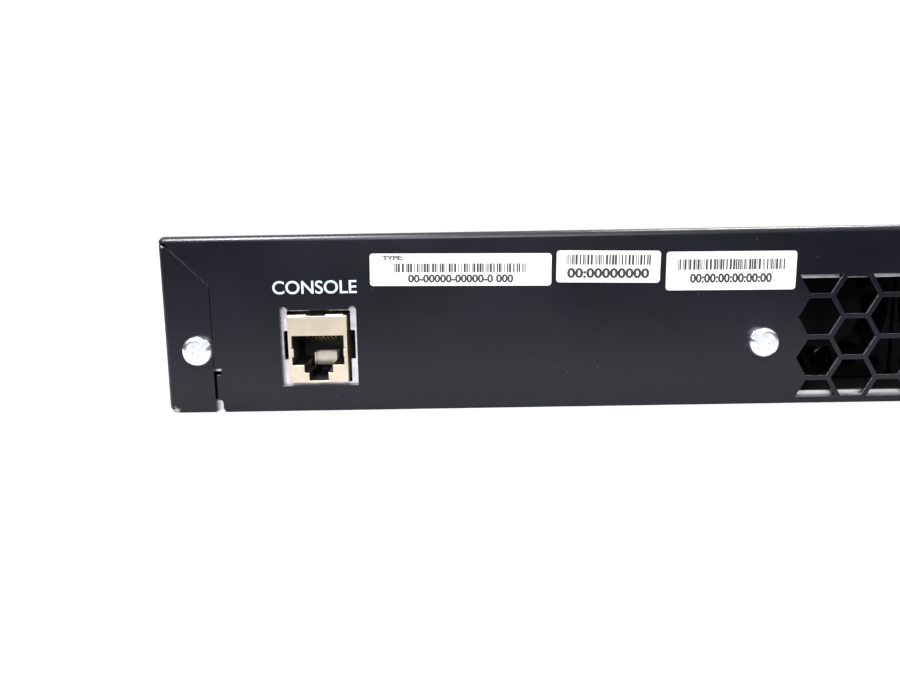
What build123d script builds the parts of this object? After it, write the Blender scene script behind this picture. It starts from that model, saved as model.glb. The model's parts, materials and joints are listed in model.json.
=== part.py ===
from build123d import *
import os
from math import cos, radians, sin, sqrt, tan

# A rackmount network switch, one rack unit high, with 48 copper ports, two uplink jacks and two fibre slots.
#
# Millimetres. +Z is up, the port side faces -Y and the fan side faces +Y. The origin is the centre of
# the bottom face of the enclosure. Places on the back are often given as "along": the distance from
# the back's left-hand edge as someone behind the switch sees it, so along runs towards -X.

# ---------------------------------------------------------------- driving dimensions
WIDTH = 445.0
DEPTH = 332.0
HEIGHT = 44.0
HALF_W = WIDTH / 2
REAR_Y = DEPTH / 2
FRONT_Y = -DEPTH / 2
SHEET = 1.0
SHEET_GAP = 0.4
BEND_OUT = 1.6
BEND_IN = BEND_OUT - SHEET

# enclosure
BEZEL_DEPTH = 5.8
BEZEL_WALL = 2.5
BEZEL_BACK_Y = FRONT_Y + BEZEL_DEPTH
COVER_FRONT_Y = BEZEL_BACK_Y + 0.2
COVER_LOW = 0.05
PAN_HALF_W = HALF_W - SHEET - 0.2
PAN_FRONT_Y = COVER_FRONT_Y
INNER_REAR_OUT_Y = REAR_Y - SHEET - SHEET_GAP
INNER_REAR_IN_Y = INNER_REAR_OUT_Y - SHEET
PAN_WALL_TOP = 41.0
INNER_WALL_TOP = 42.0

# back seam, where the side's rear tab meets the rear flange
SEAM_ALONG = 12.05
SEAM_KNEE_Z = 31.8
SEAM_GAP, SEAM_MOUTH = 0.2, 0.5
RELIEF_ALONG, RELIEF_Z, RELIEF_R = 1.6, 42.0, 0.4
TAB_CORNER_W, TAB_CORNER_H = 3.0, 1.3
FOOT_GAP, FOOT_WINDOW_W = 0.65, 1.9
FOOT_WINDOWS = ((9.5, 11.1), (1.0, 3.15))
FOOT_FLARE = 0.7
FOOT_HOLE = (3.0, 10.3)

# back: hexagon grille
HEX_PITCH = 10.32
HEX_FLATS = 9.15
HEX_COLUMN = HEX_PITCH * sqrt(3) / 2
GRILLE_COLUMNS = 13
GRILLE_FIRST_ALONG = 162.75
GRILLE_LOW = 1.2
GRILLE_ROWS = 3
GRILLE_HIGH = GRILLE_LOW + GRILLE_ROWS * HEX_PITCH
GRILLE_EDGES = (1.6, 32.2)
GRILLE_WINDOW_LOW, GRILLE_WINDOW_HIGH, GRILLE_WINDOW_MARGIN = 2.85, 31.3, 1.5

# sides: intake vents
SIDE_VENT_COLUMNS, SIDE_VENT_ROWS = 14, 4
SIDE_VENT_Y0, SIDE_VENT_LOW = -78.0, 11.0
SIDE_VENT_PITCH, SIDE_VENT_FLATS = 7.2, 6.0
SIDE_VENT_COLUMN = SIDE_VENT_PITCH * sqrt(3) / 2

# back: screws that hold the cover
COVER_SCREWS = ((8.6, 40), (148.7, -35), (287.0, 12), (WIDTH - 8.6, 65))
COVER_SCREW_Z = 15.8
SCREW_HEAD_R, SCREW_HEAD_H = 3.75, 2.3
SCREW_SLOT_W, SCREW_SLOT_DEPTH = 1.5, 1.0
SCREW_CROSS_R, SCREW_CROSS_W, SCREW_CROSS_DEPTH = 2.5, 1.5, 2.0
M4_R, M4_CLEAR_R = 1.95, 2.2
M3_R, M3_THREAD_R, M3_CLEAR_R = 1.45, 1.5, 1.7

# back: management jack
CONSOLE_ALONG = 38.45
CONSOLE_CUT = (29.05, 48.05, 6.45, 25.45)
CONSOLE_EAR_W, CONSOLE_EAR_TOP = 2.0, 26.35
CONSOLE_W, CONSOLE_H = 14.6, 16.55
CONSOLE_FACE_Y = REAR_Y + 1.2
CONSOLE_DEPTH = 21.0
CONSOLE_LATCH_LOW = 0.5
CONSOLE_WINDOW = (CONSOLE_ALONG - 7.9, CONSOLE_ALONG + 7.9, 7.1, 25.2)
CONSOLE_WINDOW_NOTCH = (1.0, 1.1, 12.95, 20.2)
CONSOLE_WINDOW_KEY_W = 4.8
CONSOLE_SPRINGS, CONSOLE_SPRING_LIFT, CONSOLE_SPRING_LENGTH = ((-7.2, -2.7), (2.1, 6.5)), 0.4, 2.2
CONSOLE_TAB_LOW, CONSOLE_TAB_HIGH, CONSOLE_TAB_REACH = 13.9, 16.0, (0.4, 0.12)
CONSOLE_SLIT = 0.25

# back: mains inlet and backup supply socket
INLET_ALONG, INLET_Z = 400.0, 20.5
INLET_FLANGE_W, INLET_FLANGE_H, INLET_FLANGE_T = 50.0, 24.0, 2.2
INLET_BODY_W, INLET_BODY_H, INLET_BODY_DEPTH = 27.4, 20.0, 24.0
INLET_CAVITY_W, INLET_CAVITY_H, INLET_CAVITY_DEPTH = 24.5, 17.0, 16.5
INLET_CAVITY_CORNER, INLET_SCREW_SPACING = 5.0, 40.0
INLET_PINS = ((-7.0, 2.0), (7.0, 2.0), (0.0, -2.0))
INLET_PIN_W, INLET_PIN_H, PIN_FIT = 2.0, 4.0, 0.02
INLET_SCREW_HEAD_R, INLET_SCREW_HEAD_H, INLET_SCREW_LENGTH = 3.1, 1.5, 8.0
INLET_CROSS_R, INLET_CROSS_HALF_W = 1.7, 0.35
BACKUP_ALONG, BACKUP_Z = 329.0, 18.0
BACKUP_W, BACKUP_H, BACKUP_DEPTH = 46.0, 14.0, 20.0

# labels on the back: along from, along to, low, high. Each is stuck on a little crooked.
LABEL_T, LABEL_CORNER_R = 0.12, 0.8
LABELS = {
    "model_label": (51.8, 96.3, 30.9, 38.8),
    "serial_label": (97.5, 122.95, 31.1, 38.9),
    "address_label": (124.4, 156.25, 28.8, 38.25),
}
LABEL_TILTS = {"model_label": 0.8, "serial_label": 1.15, "address_label": 0.45}

# boards
BOARD_LOW, BOARD_T = 5.9, 1.6
BOARD_TOP = BOARD_LOW + BOARD_T
BOARD_SPLIT_Y = -45.0
BOARD_REAR_Y = 158.0
BOARD_REAR_X0 = 71.0
BOARD_CORNER = (202.0, 118.0)
BOARD_FRONT_Y = -157.0
BOARD_HALF_W = 217.5
PSU_BOARD = (-216.0, -66.0, -36.0, 136.0)
BOARD_HOLES = [(x, y) for x in (-210.0, -70.0, 92.0, 210.0) for y in (-110.0, -60.0)]
BOARD_HOLES += [(92.0, 60.0), (210.0, 60.0), (92.0, 150.0), (196.5, 138.0)]
STANDOFF_R = 3.2
BOARD_SCREW_HEAD_R, BOARD_SCREW_HEAD_H, BOARD_SCREW_LENGTH = 2.9, 1.8, 5.5
BOARD_SCREW_CROSS = (1.6, 0.35)
PSU_HOLES = [(-210.0, -30.0), (-72.0, -30.0), (-210.0, 130.0), (-72.0, 130.0)]

# stacked port jacks
PORT_PITCH = 13.97
PORT_COLUMNS = 6
BLOCKS = 4
BLOCK_W = PORT_COLUMNS * PORT_PITCH + 2.2
BLOCK_GAP = 2.2
BLOCK_H, BLOCK_DEPTH = 27.0, 26.0
BLOCK_LOW = BOARD_TOP
BLOCK_FACE_Y = FRONT_Y + 0.7
FIRST_BLOCK_X = -189.0
SHIELD_T = 0.3
SHIELD_FIT = 0.1
UPLINK_W = 16.6
UPLINK_X = FIRST_BLOCK_X + BLOCKS * (BLOCK_W + BLOCK_GAP) + 2.0 + UPLINK_W / 2
SFP_W, SFP_H, SFP_LENGTH = 15.0, 22.6, 48.0
SFP_X = UPLINK_X + UPLINK_W / 2 + 4.0 + SFP_W / 2

# plug opening of an eight-contact jack: half widths and heights from the latch end
JACK_MAIN, JACK_KEY, JACK_LATCH = 6.35, 3.45, 2.3
JACK_LATCH_H, JACK_KEY_H, JACK_MAIN_H = 2.0, 1.95, 7.2
JACK_OPEN_H = JACK_LATCH_H + JACK_KEY_H + JACK_MAIN_H
JACK_CAVITY_DEPTH = 15.0
CONTACT_PITCH, CONTACT_W, CONTACT_T = 1.02, 0.45, 0.35

# front: lights and mode button
LIGHT_SIZE, LIGHT_HOLE = 1.9, 2.1
PORT_LIGHT_Z, LIGHT_OFFSET = 38.6, 2.6
STATUS_X = -206.0
STATUS_LIGHTS_Z = (18.0, 22.0, 26.0, 30.0, 34.0, 38.0)
MODE_Z = 9.5
MODE_R, MODE_HOLE_R = 3.4, 3.6

# fans
FAN_COUNT = 3
FAN_SIZE, FAN_THICK = 40.0, 20.0
FAN_PITCH = 41.0
FAN_MID_ALONG = GRILLE_FIRST_ALONG + (GRILLE_COLUMNS - 1) * HEX_COLUMN / 2
FAN_REAR_Y = 142.0
FAN_Z = 21.6
FAN_BORE_R, FAN_HUB_R, FAN_BLADE_R = 19.1, 12.0, 18.4
FAN_BLADES = 7
FAN_MOUNT_R, FAN_MOUNT_T, FAN_SPOKE_W = 11.5, 2.0, 1.8
FAN_WALL = 1.4
STATOR_TUBE_R, STATOR_COIL_R, STATOR_BOARD_R = 3.2, 9.2, 9.6
TRAY_BORE_R = 18.6
FAN_HOLES = [(dx, dz) for dx in (-16.0, 16.0) for dz in (-16.0, 16.0)]
BLADE_SECTIONS = ((FAN_HUB_R - 0.6, 42, 13.5, 1.3), (15.2, 36, 14.5, 1.1), (FAN_BLADE_R, 30, 15.0, 0.9))
SHAFT_R, BEARING_CLEARANCE = 1.5, 0.04

# rack ears
EAR_T = 1.6
EAR_REACH = 19.0
EAR_LENGTH = 60.0
EAR_LOW, EAR_HIGH = 1.0, 43.4
EAR_FACE_Y = COVER_FRONT_Y - 0.1
RACK_HOLE_X = 465.12 / 2
RACK_HOLE_Z = (HEIGHT / 2 - 15.875, HEIGHT / 2 + 15.875)
RACK_SLOT_LENGTH, RACK_SLOT_R = 12.0, 3.4
SIDE_HOLE_SPACING_Y, SIDE_HOLE_SPACING_Z = 30.0, 20.0
BOSS_R, BOSS_LENGTH = 4.0, 3.0
EAR_SCREW_HEAD_R, EAR_SCREW_HEAD_H, EAR_SCREW_LENGTH = 3.6, 1.5, 6.6
EAR_SCREW_CROSS = (2.0, 0.4)
EAR_HOLES_Y = EAR_FACE_Y + EAR_T + 30.0
REAR_HOLES_Y = 120.0


# ---------------------------------------------------------------- shape helpers
def slab(x0, x1, y0, y1, z0, z1):
    """A box between the given faces."""
    middle = ((x0 + x1) / 2, (y0 + y1) / 2, (z0 + z1) / 2)
    return Pos(*middle) * Box(abs(x1 - x0), abs(y1 - y0), abs(z1 - z0))


def rod(x, y, z, radius, length, direction):
    """A cylinder that starts at a point and runs along a direction."""
    return Solid.make_cylinder(radius, length, Plane((x, y, z), z_dir=direction))


def cone(x, y, z, r_start, r_end, length, direction):
    return Solid.make_cone(r_start, r_end, length, Plane((x, y, z), z_dir=direction))


def plate_y(points, y0, y1):
    """A plate whose outline is given as x, z points."""
    face = Face(Wire.make_polygon([(x, y0, z) for x, z in points], close=True))
    return Solid.extrude(face, Vector(0, y1 - y0, 0))


def plate_x(points, x0, x1):
    """A plate whose outline is given as y, z points."""
    face = Face(Wire.make_polygon([(x0, y, z) for y, z in points], close=True))
    return Solid.extrude(face, Vector(x1 - x0, 0, 0))


def plate_z(points, z0, z1):
    """A plate whose outline is given as x, y points."""
    face = Face(Wire.make_polygon([(x, y, z0) for x, y in points], close=True))
    return Solid.extrude(face, Vector(0, 0, z1 - z0))


def cut(body, tools):
    return body.cut(*tools) if tools else body


def joined(shapes):
    first, *rest = shapes
    return first.fuse(*rest) if rest else first


def tube(points, radii, radius):
    """A round cable along straight runs joined by tangent arcs."""
    path = FilletPolyline(*points, radius=radii)
    start = Plane(path @ 0, z_dir=path % 0)
    return sweep(start * Circle(radius), path=path)


def along_x(along, side=1):
    """The x of a place on the back; side -1 mirrors it to the other end."""
    return side * (HALF_W - along)


def hexagon(across, z, flats):
    """Corners of a hexagonal hole whose flats are level."""
    corner = flats / sqrt(3)
    return [(across + corner * cos(radians(a)), z + corner * sin(radians(a))) for a in range(0, 360, 60)]


def jack_outline(x, latch_z, up, spread=0.0):
    """The stepped outline of a plug opening, from its latch end. up is 1 where the latch is below."""
    steps = ((JACK_LATCH, 0, JACK_LATCH_H), (JACK_KEY, JACK_LATCH_H, JACK_LATCH_H + JACK_KEY_H))
    right = []
    for half, start, end in steps:
        right += [(half + spread, start - spread), (half + spread, end - spread)]
    right += [(JACK_MAIN + spread, end - spread), (JACK_MAIN + spread, JACK_OPEN_H + spread)]
    outline = right + [(-a, b) for a, b in reversed(right)]
    return [(x + a, latch_z + up * b) for a, b in outline]


def contact_wires(x, tip_z, y_mouth, inward, hang):
    """Eight spring wires. They leave the roof of the jack near its mouth and slope back towards the floor."""
    wires = []
    for i in range(8):
        wx = x + (i - 3.5) * CONTACT_PITCH
        run = ((4.0, 0.0), (11.8, 2.6 * hang), (11.8, (2.6 + CONTACT_T) * hang), (4.0, CONTACT_T * hang))
        points = [(y_mouth + inward * a, tip_z + b) for a, b in run]
        wires.append(plate_x(points, wx - CONTACT_W / 2, wx + CONTACT_W / 2))
    return wires


nodes = {}


def cross_arms(reach, half_width):
    """Half lengths and half widths of a cross recess's two arms."""
    return (reach, half_width), (half_width, reach)


def keep(name, shapes):
    """Files one node as the solids of the given shapes."""
    shapes = shapes if isinstance(shapes, (list, tuple)) else [shapes]
    nodes[name] = [solid for shape in shapes for solid in shape.solids()]


# ---------------------------------------------------------------- enclosure
def rounded_shell(x, y0, y1, z0, z1, radius):
    """A block whose top, rear and rear corner edges are rounded like folded sheet."""
    block = slab(-x, x, y0, y1, z0, z1)
    top = block.edges().filter_by_position(Axis.Z, z1, z1)
    rear = block.edges().filter_by(Axis.Z).filter_by_position(Axis.Y, y1, y1)
    top_sides = [e for e in top if e.center().Y > y0 + 0.01]
    return block.fillet(radius, top_sides + list(rear))


def seam_tools(side):
    """The gap between the side's rear tab and the rear flange, with its foot slot and its corner relief.

    The gap runs down at 45 degrees from the relief, closing as it goes, and then straight down. The tab's
    foot has its outer corner cut off.
    """
    y0, y1 = REAR_Y - SHEET - 0.1, REAR_Y + 0.1
    half, slope, mouth = SEAM_GAP / 2, SEAM_GAP / 2 / sqrt(2), SEAM_MOUTH / 2 / sqrt(2)
    left, right, bend = SEAM_ALONG - half, SEAM_ALONG + half, SEAM_KNEE_Z
    top, throat = RELIEF_ALONG, RELIEF_ALONG + 2.0
    drop = SEAM_KNEE_Z + SEAM_ALONG
    diagonal = [
        (top - mouth, drop - top - mouth),
        (throat - slope, drop - throat - slope),
        (left, bend - slope / 2),
        (right, bend + slope),
        (throat + slope, drop - throat + slope),
        (top + mouth, drop - top + mouth),
    ]
    upright = [(left, -1), (left, bend), (right, bend + slope), (right, -1)]
    corner = [(-1, -1), (TAB_CORNER_W, -1), (TAB_CORNER_W, 0), (0, TAB_CORNER_H), (-1, TAB_CORNER_H)]
    foot_right, (high_z0, high_z1), (low_z0, low_z1) = left + FOOT_WINDOW_W, *FOOT_WINDOWS
    foot = [
        (left, -1),
        (left, high_z1),
        (foot_right, high_z1),
        (foot_right, high_z0),
        (left + FOOT_GAP, high_z0),
        (left + FOOT_GAP, low_z1),
        (foot_right - 0.7, low_z1),
        (foot_right - 0.2, low_z1 - 0.2),
        (foot_right, low_z1 - 0.7),
        (foot_right, low_z0),
        (foot_right + FOOT_FLARE, -0.1),
        (foot_right + FOOT_FLARE, -1),
    ]
    corner_gap = [
        (-1, RELIEF_Z + 0.85),
        (RELIEF_ALONG, RELIEF_Z + RELIEF_R),
        (RELIEF_ALONG + RELIEF_R / 2, RELIEF_Z - RELIEF_R),
        (-1, RELIEF_Z + 0.45),
    ]
    outlines = (diagonal, upright, foot)
    tools = [plate_y([(along_x(a, side), z) for a, z in outline], y0, y1) for outline in outlines]
    tools.append(plate_y([(along_x(a, side), z) for a, z in corner_gap], REAR_Y - BEND_OUT, y1))
    tools.append(plate_y([(along_x(a, side), z) for a, z in corner], REAR_Y - TAB_CORNER_W, y1))
    tools.append(rod(along_x(RELIEF_ALONG, side), REAR_Y - 2.5, RELIEF_Z, RELIEF_R, 3.5, (0, 1, 0)))
    return tools


def console_cut_tools():
    """The jack cut-out in the cover, with a round-topped ear above each upper corner."""
    a0, a1, z0, z1 = CONSOLE_CUT
    y0 = REAR_Y - SHEET - 0.5
    ear_r = CONSOLE_EAR_W / 2
    tools = [slab(along_x(a0), along_x(a1), y0, REAR_Y + 1, z0, z1)]
    for ear in (a0 + ear_r, a1 - ear_r):
        x = along_x(ear)
        tools.append(slab(x - ear_r, x + ear_r, y0, REAR_Y + 1, z1 - 1, CONSOLE_EAR_TOP - ear_r))
        tools.append(rod(x, y0, CONSOLE_EAR_TOP - ear_r, ear_r, 3.0, (0, 1, 0)))
    return tools


def grille_tools(y0, y1):
    """Alternate columns are half a pitch apart. The odd ones out end in hexagons cut off level."""
    tools = []
    inside = slab(along_x(0), along_x(WIDTH), y0, y1, *GRILLE_EDGES)
    for column in range(GRILLE_COLUMNS):
        x = along_x(GRILLE_FIRST_ALONG + column * HEX_COLUMN)
        if column % 2:
            rows = [GRILLE_LOW + HEX_PITCH * (row + 0.5) for row in range(GRILLE_ROWS)]
        else:
            rows = [GRILLE_LOW + HEX_PITCH * row for row in range(1, GRILLE_ROWS)]
            tools += [inside & plate_y(hexagon(x, z, HEX_FLATS), y0, y1) for z in (GRILLE_LOW, GRILLE_HIGH)]
        tools += [plate_y(hexagon(x, z, HEX_FLATS), y0, y1) for z in rows]
    return tools


def side_vent_tools(side):
    """Intake holes in one side of the cover: a field of smaller hexagons."""
    x0, x1 = side * (HALF_W - SHEET - 0.2), side * (HALF_W + 0.5)
    tools = []
    for column in range(SIDE_VENT_COLUMNS):
        y = SIDE_VENT_Y0 + column * SIDE_VENT_COLUMN
        for row in range(SIDE_VENT_ROWS - column % 2):
            z = SIDE_VENT_LOW + SIDE_VENT_PITCH * (row + (column % 2) / 2)
            tools.append(plate_x(hexagon(y, z, SIDE_VENT_FLATS), x0, x1))
    return tools


def side_hole_places():
    """The y, z places of the threaded holes on each side: a group for the ears and a free one behind."""
    return [
        (group + dy, HEIGHT / 2 + dz)
        for group in (EAR_HOLES_Y, REAR_HOLES_Y)
        for dy in (-SIDE_HOLE_SPACING_Y / 2, SIDE_HOLE_SPACING_Y / 2)
        for dz in (-SIDE_HOLE_SPACING_Z / 2, SIDE_HOLE_SPACING_Z / 2)
    ]


def side_hole_tools(radius, side, inner, outer):
    return [rod(side * inner, y, z, radius, outer - inner, (side, 0, 0)) for y, z in side_hole_places()]


def socket_tools(y0, y1, inlet_gap, backup_gap, screw_r):
    """Cut-outs for the mains inlet, its two screws and the backup socket."""
    x, w, h = along_x(INLET_ALONG), INLET_BODY_W / 2 + inlet_gap, INLET_BODY_H / 2 + inlet_gap
    tools = [slab(x - w, x + w, y0, y1, INLET_Z - h, INLET_Z + h)]
    tools += [rod(x + s * INLET_SCREW_SPACING / 2, y0, INLET_Z, screw_r, y1 - y0, (0, 1, 0)) for s in (1, -1)]
    x, w, h = along_x(BACKUP_ALONG), BACKUP_W / 2 + backup_gap, BACKUP_H / 2 + backup_gap
    return tools + [slab(x - w, x + w, y0, y1, BACKUP_Z - h, BACKUP_Z + h)]


def make_top_cover():
    outer = rounded_shell(HALF_W, COVER_FRONT_Y, REAR_Y, COVER_LOW, HEIGHT, BEND_OUT)
    inner_w, inner_y = HALF_W - SHEET, REAR_Y - SHEET
    inner = rounded_shell(inner_w, COVER_FRONT_Y - 1, inner_y, COVER_LOW - 1, HEIGHT - SHEET, BEND_IN)
    cover = outer - inner
    y0, y1 = REAR_Y - SHEET - 0.5, REAR_Y + 0.5
    tools = console_cut_tools() + grille_tools(y0, y1)
    for side in (1, -1):
        tools += seam_tools(side)
        tools += side_vent_tools(side)
        tools += side_hole_tools(M4_CLEAR_R, side, HALF_W - SHEET - 0.5, HALF_W + 0.5)
    tools += [rod(along_x(a), y0, COVER_SCREW_Z, M4_CLEAR_R, 2.0, (0, 1, 0)) for a, _ in COVER_SCREWS]
    return cut(cover, tools + socket_tools(y0, y1, 0.3, 0.6, 1.7))


def make_base_pan():
    y0, y1 = PAN_FRONT_Y, INNER_REAR_OUT_Y
    pieces = [slab(-PAN_HALF_W, PAN_HALF_W, y0, y1, 0, SHEET)]
    for side in (1, -1):
        wall_x = side * PAN_HALF_W
        pieces.append(slab(wall_x - side * SHEET, wall_x, y0, y1, 0, PAN_WALL_TOP))
        pieces += [rod(wall_x, y, z, BOSS_R, BOSS_LENGTH, (-side, 0, 0)) for y, z in side_hole_places()]
    pan = joined(pieces)
    tools = []
    vent_y = (SIDE_VENT_Y0 - 2, SIDE_VENT_Y0 + (SIDE_VENT_COLUMNS - 1) * SIDE_VENT_COLUMN + 2)
    vent_z = (SIDE_VENT_LOW - 2, SIDE_VENT_LOW + (SIDE_VENT_ROWS - 1) * SIDE_VENT_PITCH + 2)
    for side in (1, -1):
        tools += side_hole_tools(M4_R + 0.05, side, PAN_HALF_W - 5, PAN_HALF_W + 1)
        x0, x1 = side * (PAN_HALF_W - SHEET - 1), side * (PAN_HALF_W + 1)
        tools.append(slab(x0, x1, *vent_y, *vent_z))
    return cut(pan, tools)


INNER_HALF_W = PAN_HALF_W - SHEET - 0.1


def make_rear_panel():
    """The bare inner rear wall. Its windows are a little smaller than the cut-outs in the painted cover."""
    y0, y1 = INNER_REAR_IN_Y, INNER_REAR_OUT_Y
    panel = slab(-INNER_HALF_W, INNER_HALF_W, y0, y1, SHEET, INNER_WALL_TOP)
    bosses = [rod(along_x(a), y0, COVER_SCREW_Z, 3.6, 2.0, (0, -1, 0)) for a, _ in COVER_SCREWS]
    panel = joined([panel] + bosses)
    a0, a1, z0, z1 = CONSOLE_WINDOW
    ya, yb = y0 - 3, y1 + 1
    left, right, notch_z0, notch_z1 = CONSOLE_WINDOW_NOTCH
    key = CONSOLE_WINDOW_KEY_W / 2
    tools = [slab(along_x(a0), along_x(a1), ya, yb, z0, z1)]
    tools.append(slab(along_x(a0 - left), along_x(a1 + right), ya, yb, notch_z0, notch_z1))
    tools.append(slab(along_x(CONSOLE_ALONG - key), along_x(CONSOLE_ALONG + key), ya, yb, z1 - 1, z1 + 1))
    half_span = (GRILLE_COLUMNS - 1) * HEX_COLUMN / 2 + HEX_FLATS / sqrt(3) + GRILLE_WINDOW_MARGIN
    fan_x = along_x(FAN_MID_ALONG)
    tools.append(slab(fan_x - half_span, fan_x + half_span, ya, yb, GRILLE_WINDOW_LOW, GRILLE_WINDOW_HIGH))
    tools += [rod(along_x(a), y0 - 3, COVER_SCREW_Z, M4_R + 0.05, 5.0, (0, 1, 0)) for a, _ in COVER_SCREWS]
    for side in (1, -1):
        x0, x1 = along_x(SEAM_ALONG - 1.1, side), along_x(SEAM_ALONG + FOOT_WINDOW_W + 0.5, side)
        tools.append(slab(x0, x1, ya, yb, *FOOT_HOLE))
    return cut(panel, tools + socket_tools(ya, yb, 0.2, 0.2, 1.5))


def block_centre(block):
    return FIRST_BLOCK_X + BLOCK_W / 2 + block * (BLOCK_W + BLOCK_GAP)


def port_x(block, column):
    return block_centre(block) + (column - (PORT_COLUMNS - 1) / 2) * PORT_PITCH


def front_windows(spread):
    """The jack and slot windows of the front, each grown by spread, as x and z limits."""
    windows = [(block_centre(b), BLOCK_W, BLOCK_H) for b in range(BLOCKS)]
    windows += [(UPLINK_X, UPLINK_W, BLOCK_H), (SFP_X, SFP_W, SFP_H)]
    low = BOARD_TOP - spread
    return [(x - w / 2 - spread, x + w / 2 + spread, low, BOARD_TOP + h + spread) for x, w, h in windows]


def light_places():
    """The x, z places of the port lights, two above each pair of ports, then the uplinks' and the slots'."""
    centres = [port_x(block, column) for block in range(BLOCKS) for column in range(PORT_COLUMNS)]
    centres += [UPLINK_X, SFP_X]
    return [(x + side * LIGHT_OFFSET, PORT_LIGHT_Z) for x in centres for side in (-1, 1)]


def light_tools(y0, y1):
    half = LIGHT_HOLE / 2
    places = light_places() + [(STATUS_X, z) for z in STATUS_LIGHTS_Z]
    return [slab(x - half, x + half, y0, y1, z - half, z + half) for x, z in places]


def make_front_panel():
    y0, y1 = PAN_FRONT_Y, PAN_FRONT_Y + SHEET
    panel = slab(-INNER_HALF_W, INNER_HALF_W, y0, y1, SHEET, INNER_WALL_TOP)
    tools = [slab(x0, x1, y0 - 1, y1 + 1, z0, z1) for x0, x1, z0, z1 in front_windows(0.3)]
    tools += light_tools(y0 - 1, y1 + 1)
    tools.append(rod(STATUS_X, y0 - 1, MODE_Z, MODE_HOLE_R, 3.0, (0, 1, 0)))
    return cut(panel, tools)


def make_front_bezel():
    """A moulded front frame with a rim round its back edge."""
    outer = slab(-HALF_W, HALF_W, FRONT_Y, BEZEL_BACK_Y, 0.3, HEIGHT - 0.1)
    outer = outer.fillet(1.2, outer.edges().filter_by_position(Axis.Y, FRONT_Y, FRONT_Y))
    hollow = slab(-HALF_W + 2.2, HALF_W - 2.2, FRONT_Y + BEZEL_WALL, BEZEL_BACK_Y + 1, 2.5, HEIGHT - 2.3)
    tools = [hollow]
    tools += [slab(x0, x1, FRONT_Y - 1, BEZEL_BACK_Y + 1, z0, z1) for x0, x1, z0, z1 in front_windows(0.5)]
    tools += light_tools(FRONT_Y - 1, BEZEL_BACK_Y)
    tools.append(rod(STATUS_X, FRONT_Y - 1, MODE_Z, MODE_HOLE_R, BEZEL_WALL + 2, (0, 1, 0)))
    tools.append(slab(-HALF_W - 1, STATUS_X + 9.0, FRONT_Y - 1, FRONT_Y + 0.5, HEIGHT - 2.2, HEIGHT - 1.9))
    return cut(outer, tools)


def make_rack_ear(side):
    y0, y1 = EAR_FACE_Y, EAR_FACE_Y + EAR_T
    outline = [
        (side * HALF_W, y0),
        (side * (HALF_W + EAR_REACH), y0),
        (side * (HALF_W + EAR_REACH), y1),
        (side * (HALF_W + EAR_T), y1),
        (side * (HALF_W + EAR_T), y0 + EAR_LENGTH),
        (side * HALF_W, y0 + EAR_LENGTH),
    ]
    ear = plate_z(outline, EAR_LOW, EAR_HIGH)
    tip = [e for e in ear.edges().filter_by(Axis.Y) if abs(e.center().X) > HALF_W + EAR_REACH - 0.01]
    ear = ear.fillet(2.5, tip)
    upright = ear.edges().filter_by(Axis.Z)
    bend = [e for e in upright if abs(e.center().Y - y1) < 0.01 and abs(e.center().X) < HALF_W + EAR_T + 0.01]
    ear = ear.fillet(1.2, bend)
    tools = []
    for z in RACK_HOLE_Z:
        half = RACK_SLOT_LENGTH / 2 - RACK_SLOT_R
        x = side * RACK_HOLE_X
        tools.append(slab(x - half, x + half, y0 - 1, y1 + 1, z - RACK_SLOT_R, z + RACK_SLOT_R))
        tools += [rod(x + s * half, y0 - 1, z, RACK_SLOT_R, EAR_T + 2, (0, 1, 0)) for s in (1, -1)]
    for y, z in side_hole_places():
        if y < 0:
            tools.append(rod(side * (HALF_W - 1), y, z, M4_CLEAR_R, EAR_T + 2, (side, 0, 0)))
            tools.append(cone(side * (HALF_W + 0.1), y, z, M4_CLEAR_R, 3.7, EAR_T - 0.1, (side, 0, 0)))
    return cut(ear, tools)


def make_rack_ear_screws():
    """Countersunk screws, flush with the ears."""
    screws = []
    for side in (1, -1):
        for y, z in side_hole_places():
            if y > 0:
                continue
            face = side * (HALF_W + EAR_T)
            head = cone(face, y, z, EAR_SCREW_HEAD_R, M4_R, EAR_SCREW_HEAD_H, (-side, 0, 0))
            neck = face - side * (EAR_SCREW_HEAD_H - 0.1)
            shank = rod(neck, y, z, M4_R, EAR_SCREW_LENGTH, (-side, 0, 0))
            floor, out = face - side * 1.2, face + side
            recess = [slab(floor, out, y - a, y + a, z - b, z + b) for a, b in cross_arms(*EAR_SCREW_CROSS)]
            screws.append(cut(joined([head, shank]), recess))
    return screws


def make_cover_screws():
    """Pan heads with a full slot and a cross recess."""
    screws = []
    for along, turn in COVER_SCREWS:
        x = along_x(along)
        head = rod(x, REAR_Y, COVER_SCREW_Z, SCREW_HEAD_R, SCREW_HEAD_H, (0, 1, 0))
        rim = head.edges().filter_by(GeomType.CIRCLE).sort_by(Axis.Y)[-1]
        head = head.fillet(1.3, [rim])
        shank = rod(x, REAR_Y + 0.5, COVER_SCREW_Z, M4_R, 8.5, (0, -1, 0))
        top_y = REAR_Y + SCREW_HEAD_H
        centre = Pos(x, top_y, COVER_SCREW_Z) * Rot(0, turn, 0)
        slot = centre * Box(2 * SCREW_HEAD_R + 2, 2 * SCREW_SLOT_DEPTH, SCREW_SLOT_W)
        taper = cone(x, top_y + 0.01, COVER_SCREW_Z, SCREW_CROSS_R, 0.4, SCREW_CROSS_DEPTH, (0, -1, 0))
        span = 2 * SCREW_CROSS_R
        arms = [centre * Box(a, span, b) for a, b in cross_arms(span, SCREW_CROSS_W)]
        screws.append(cut(joined([head, shank]), [slot] + [taper & arm for arm in arms]))
    return screws


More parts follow.
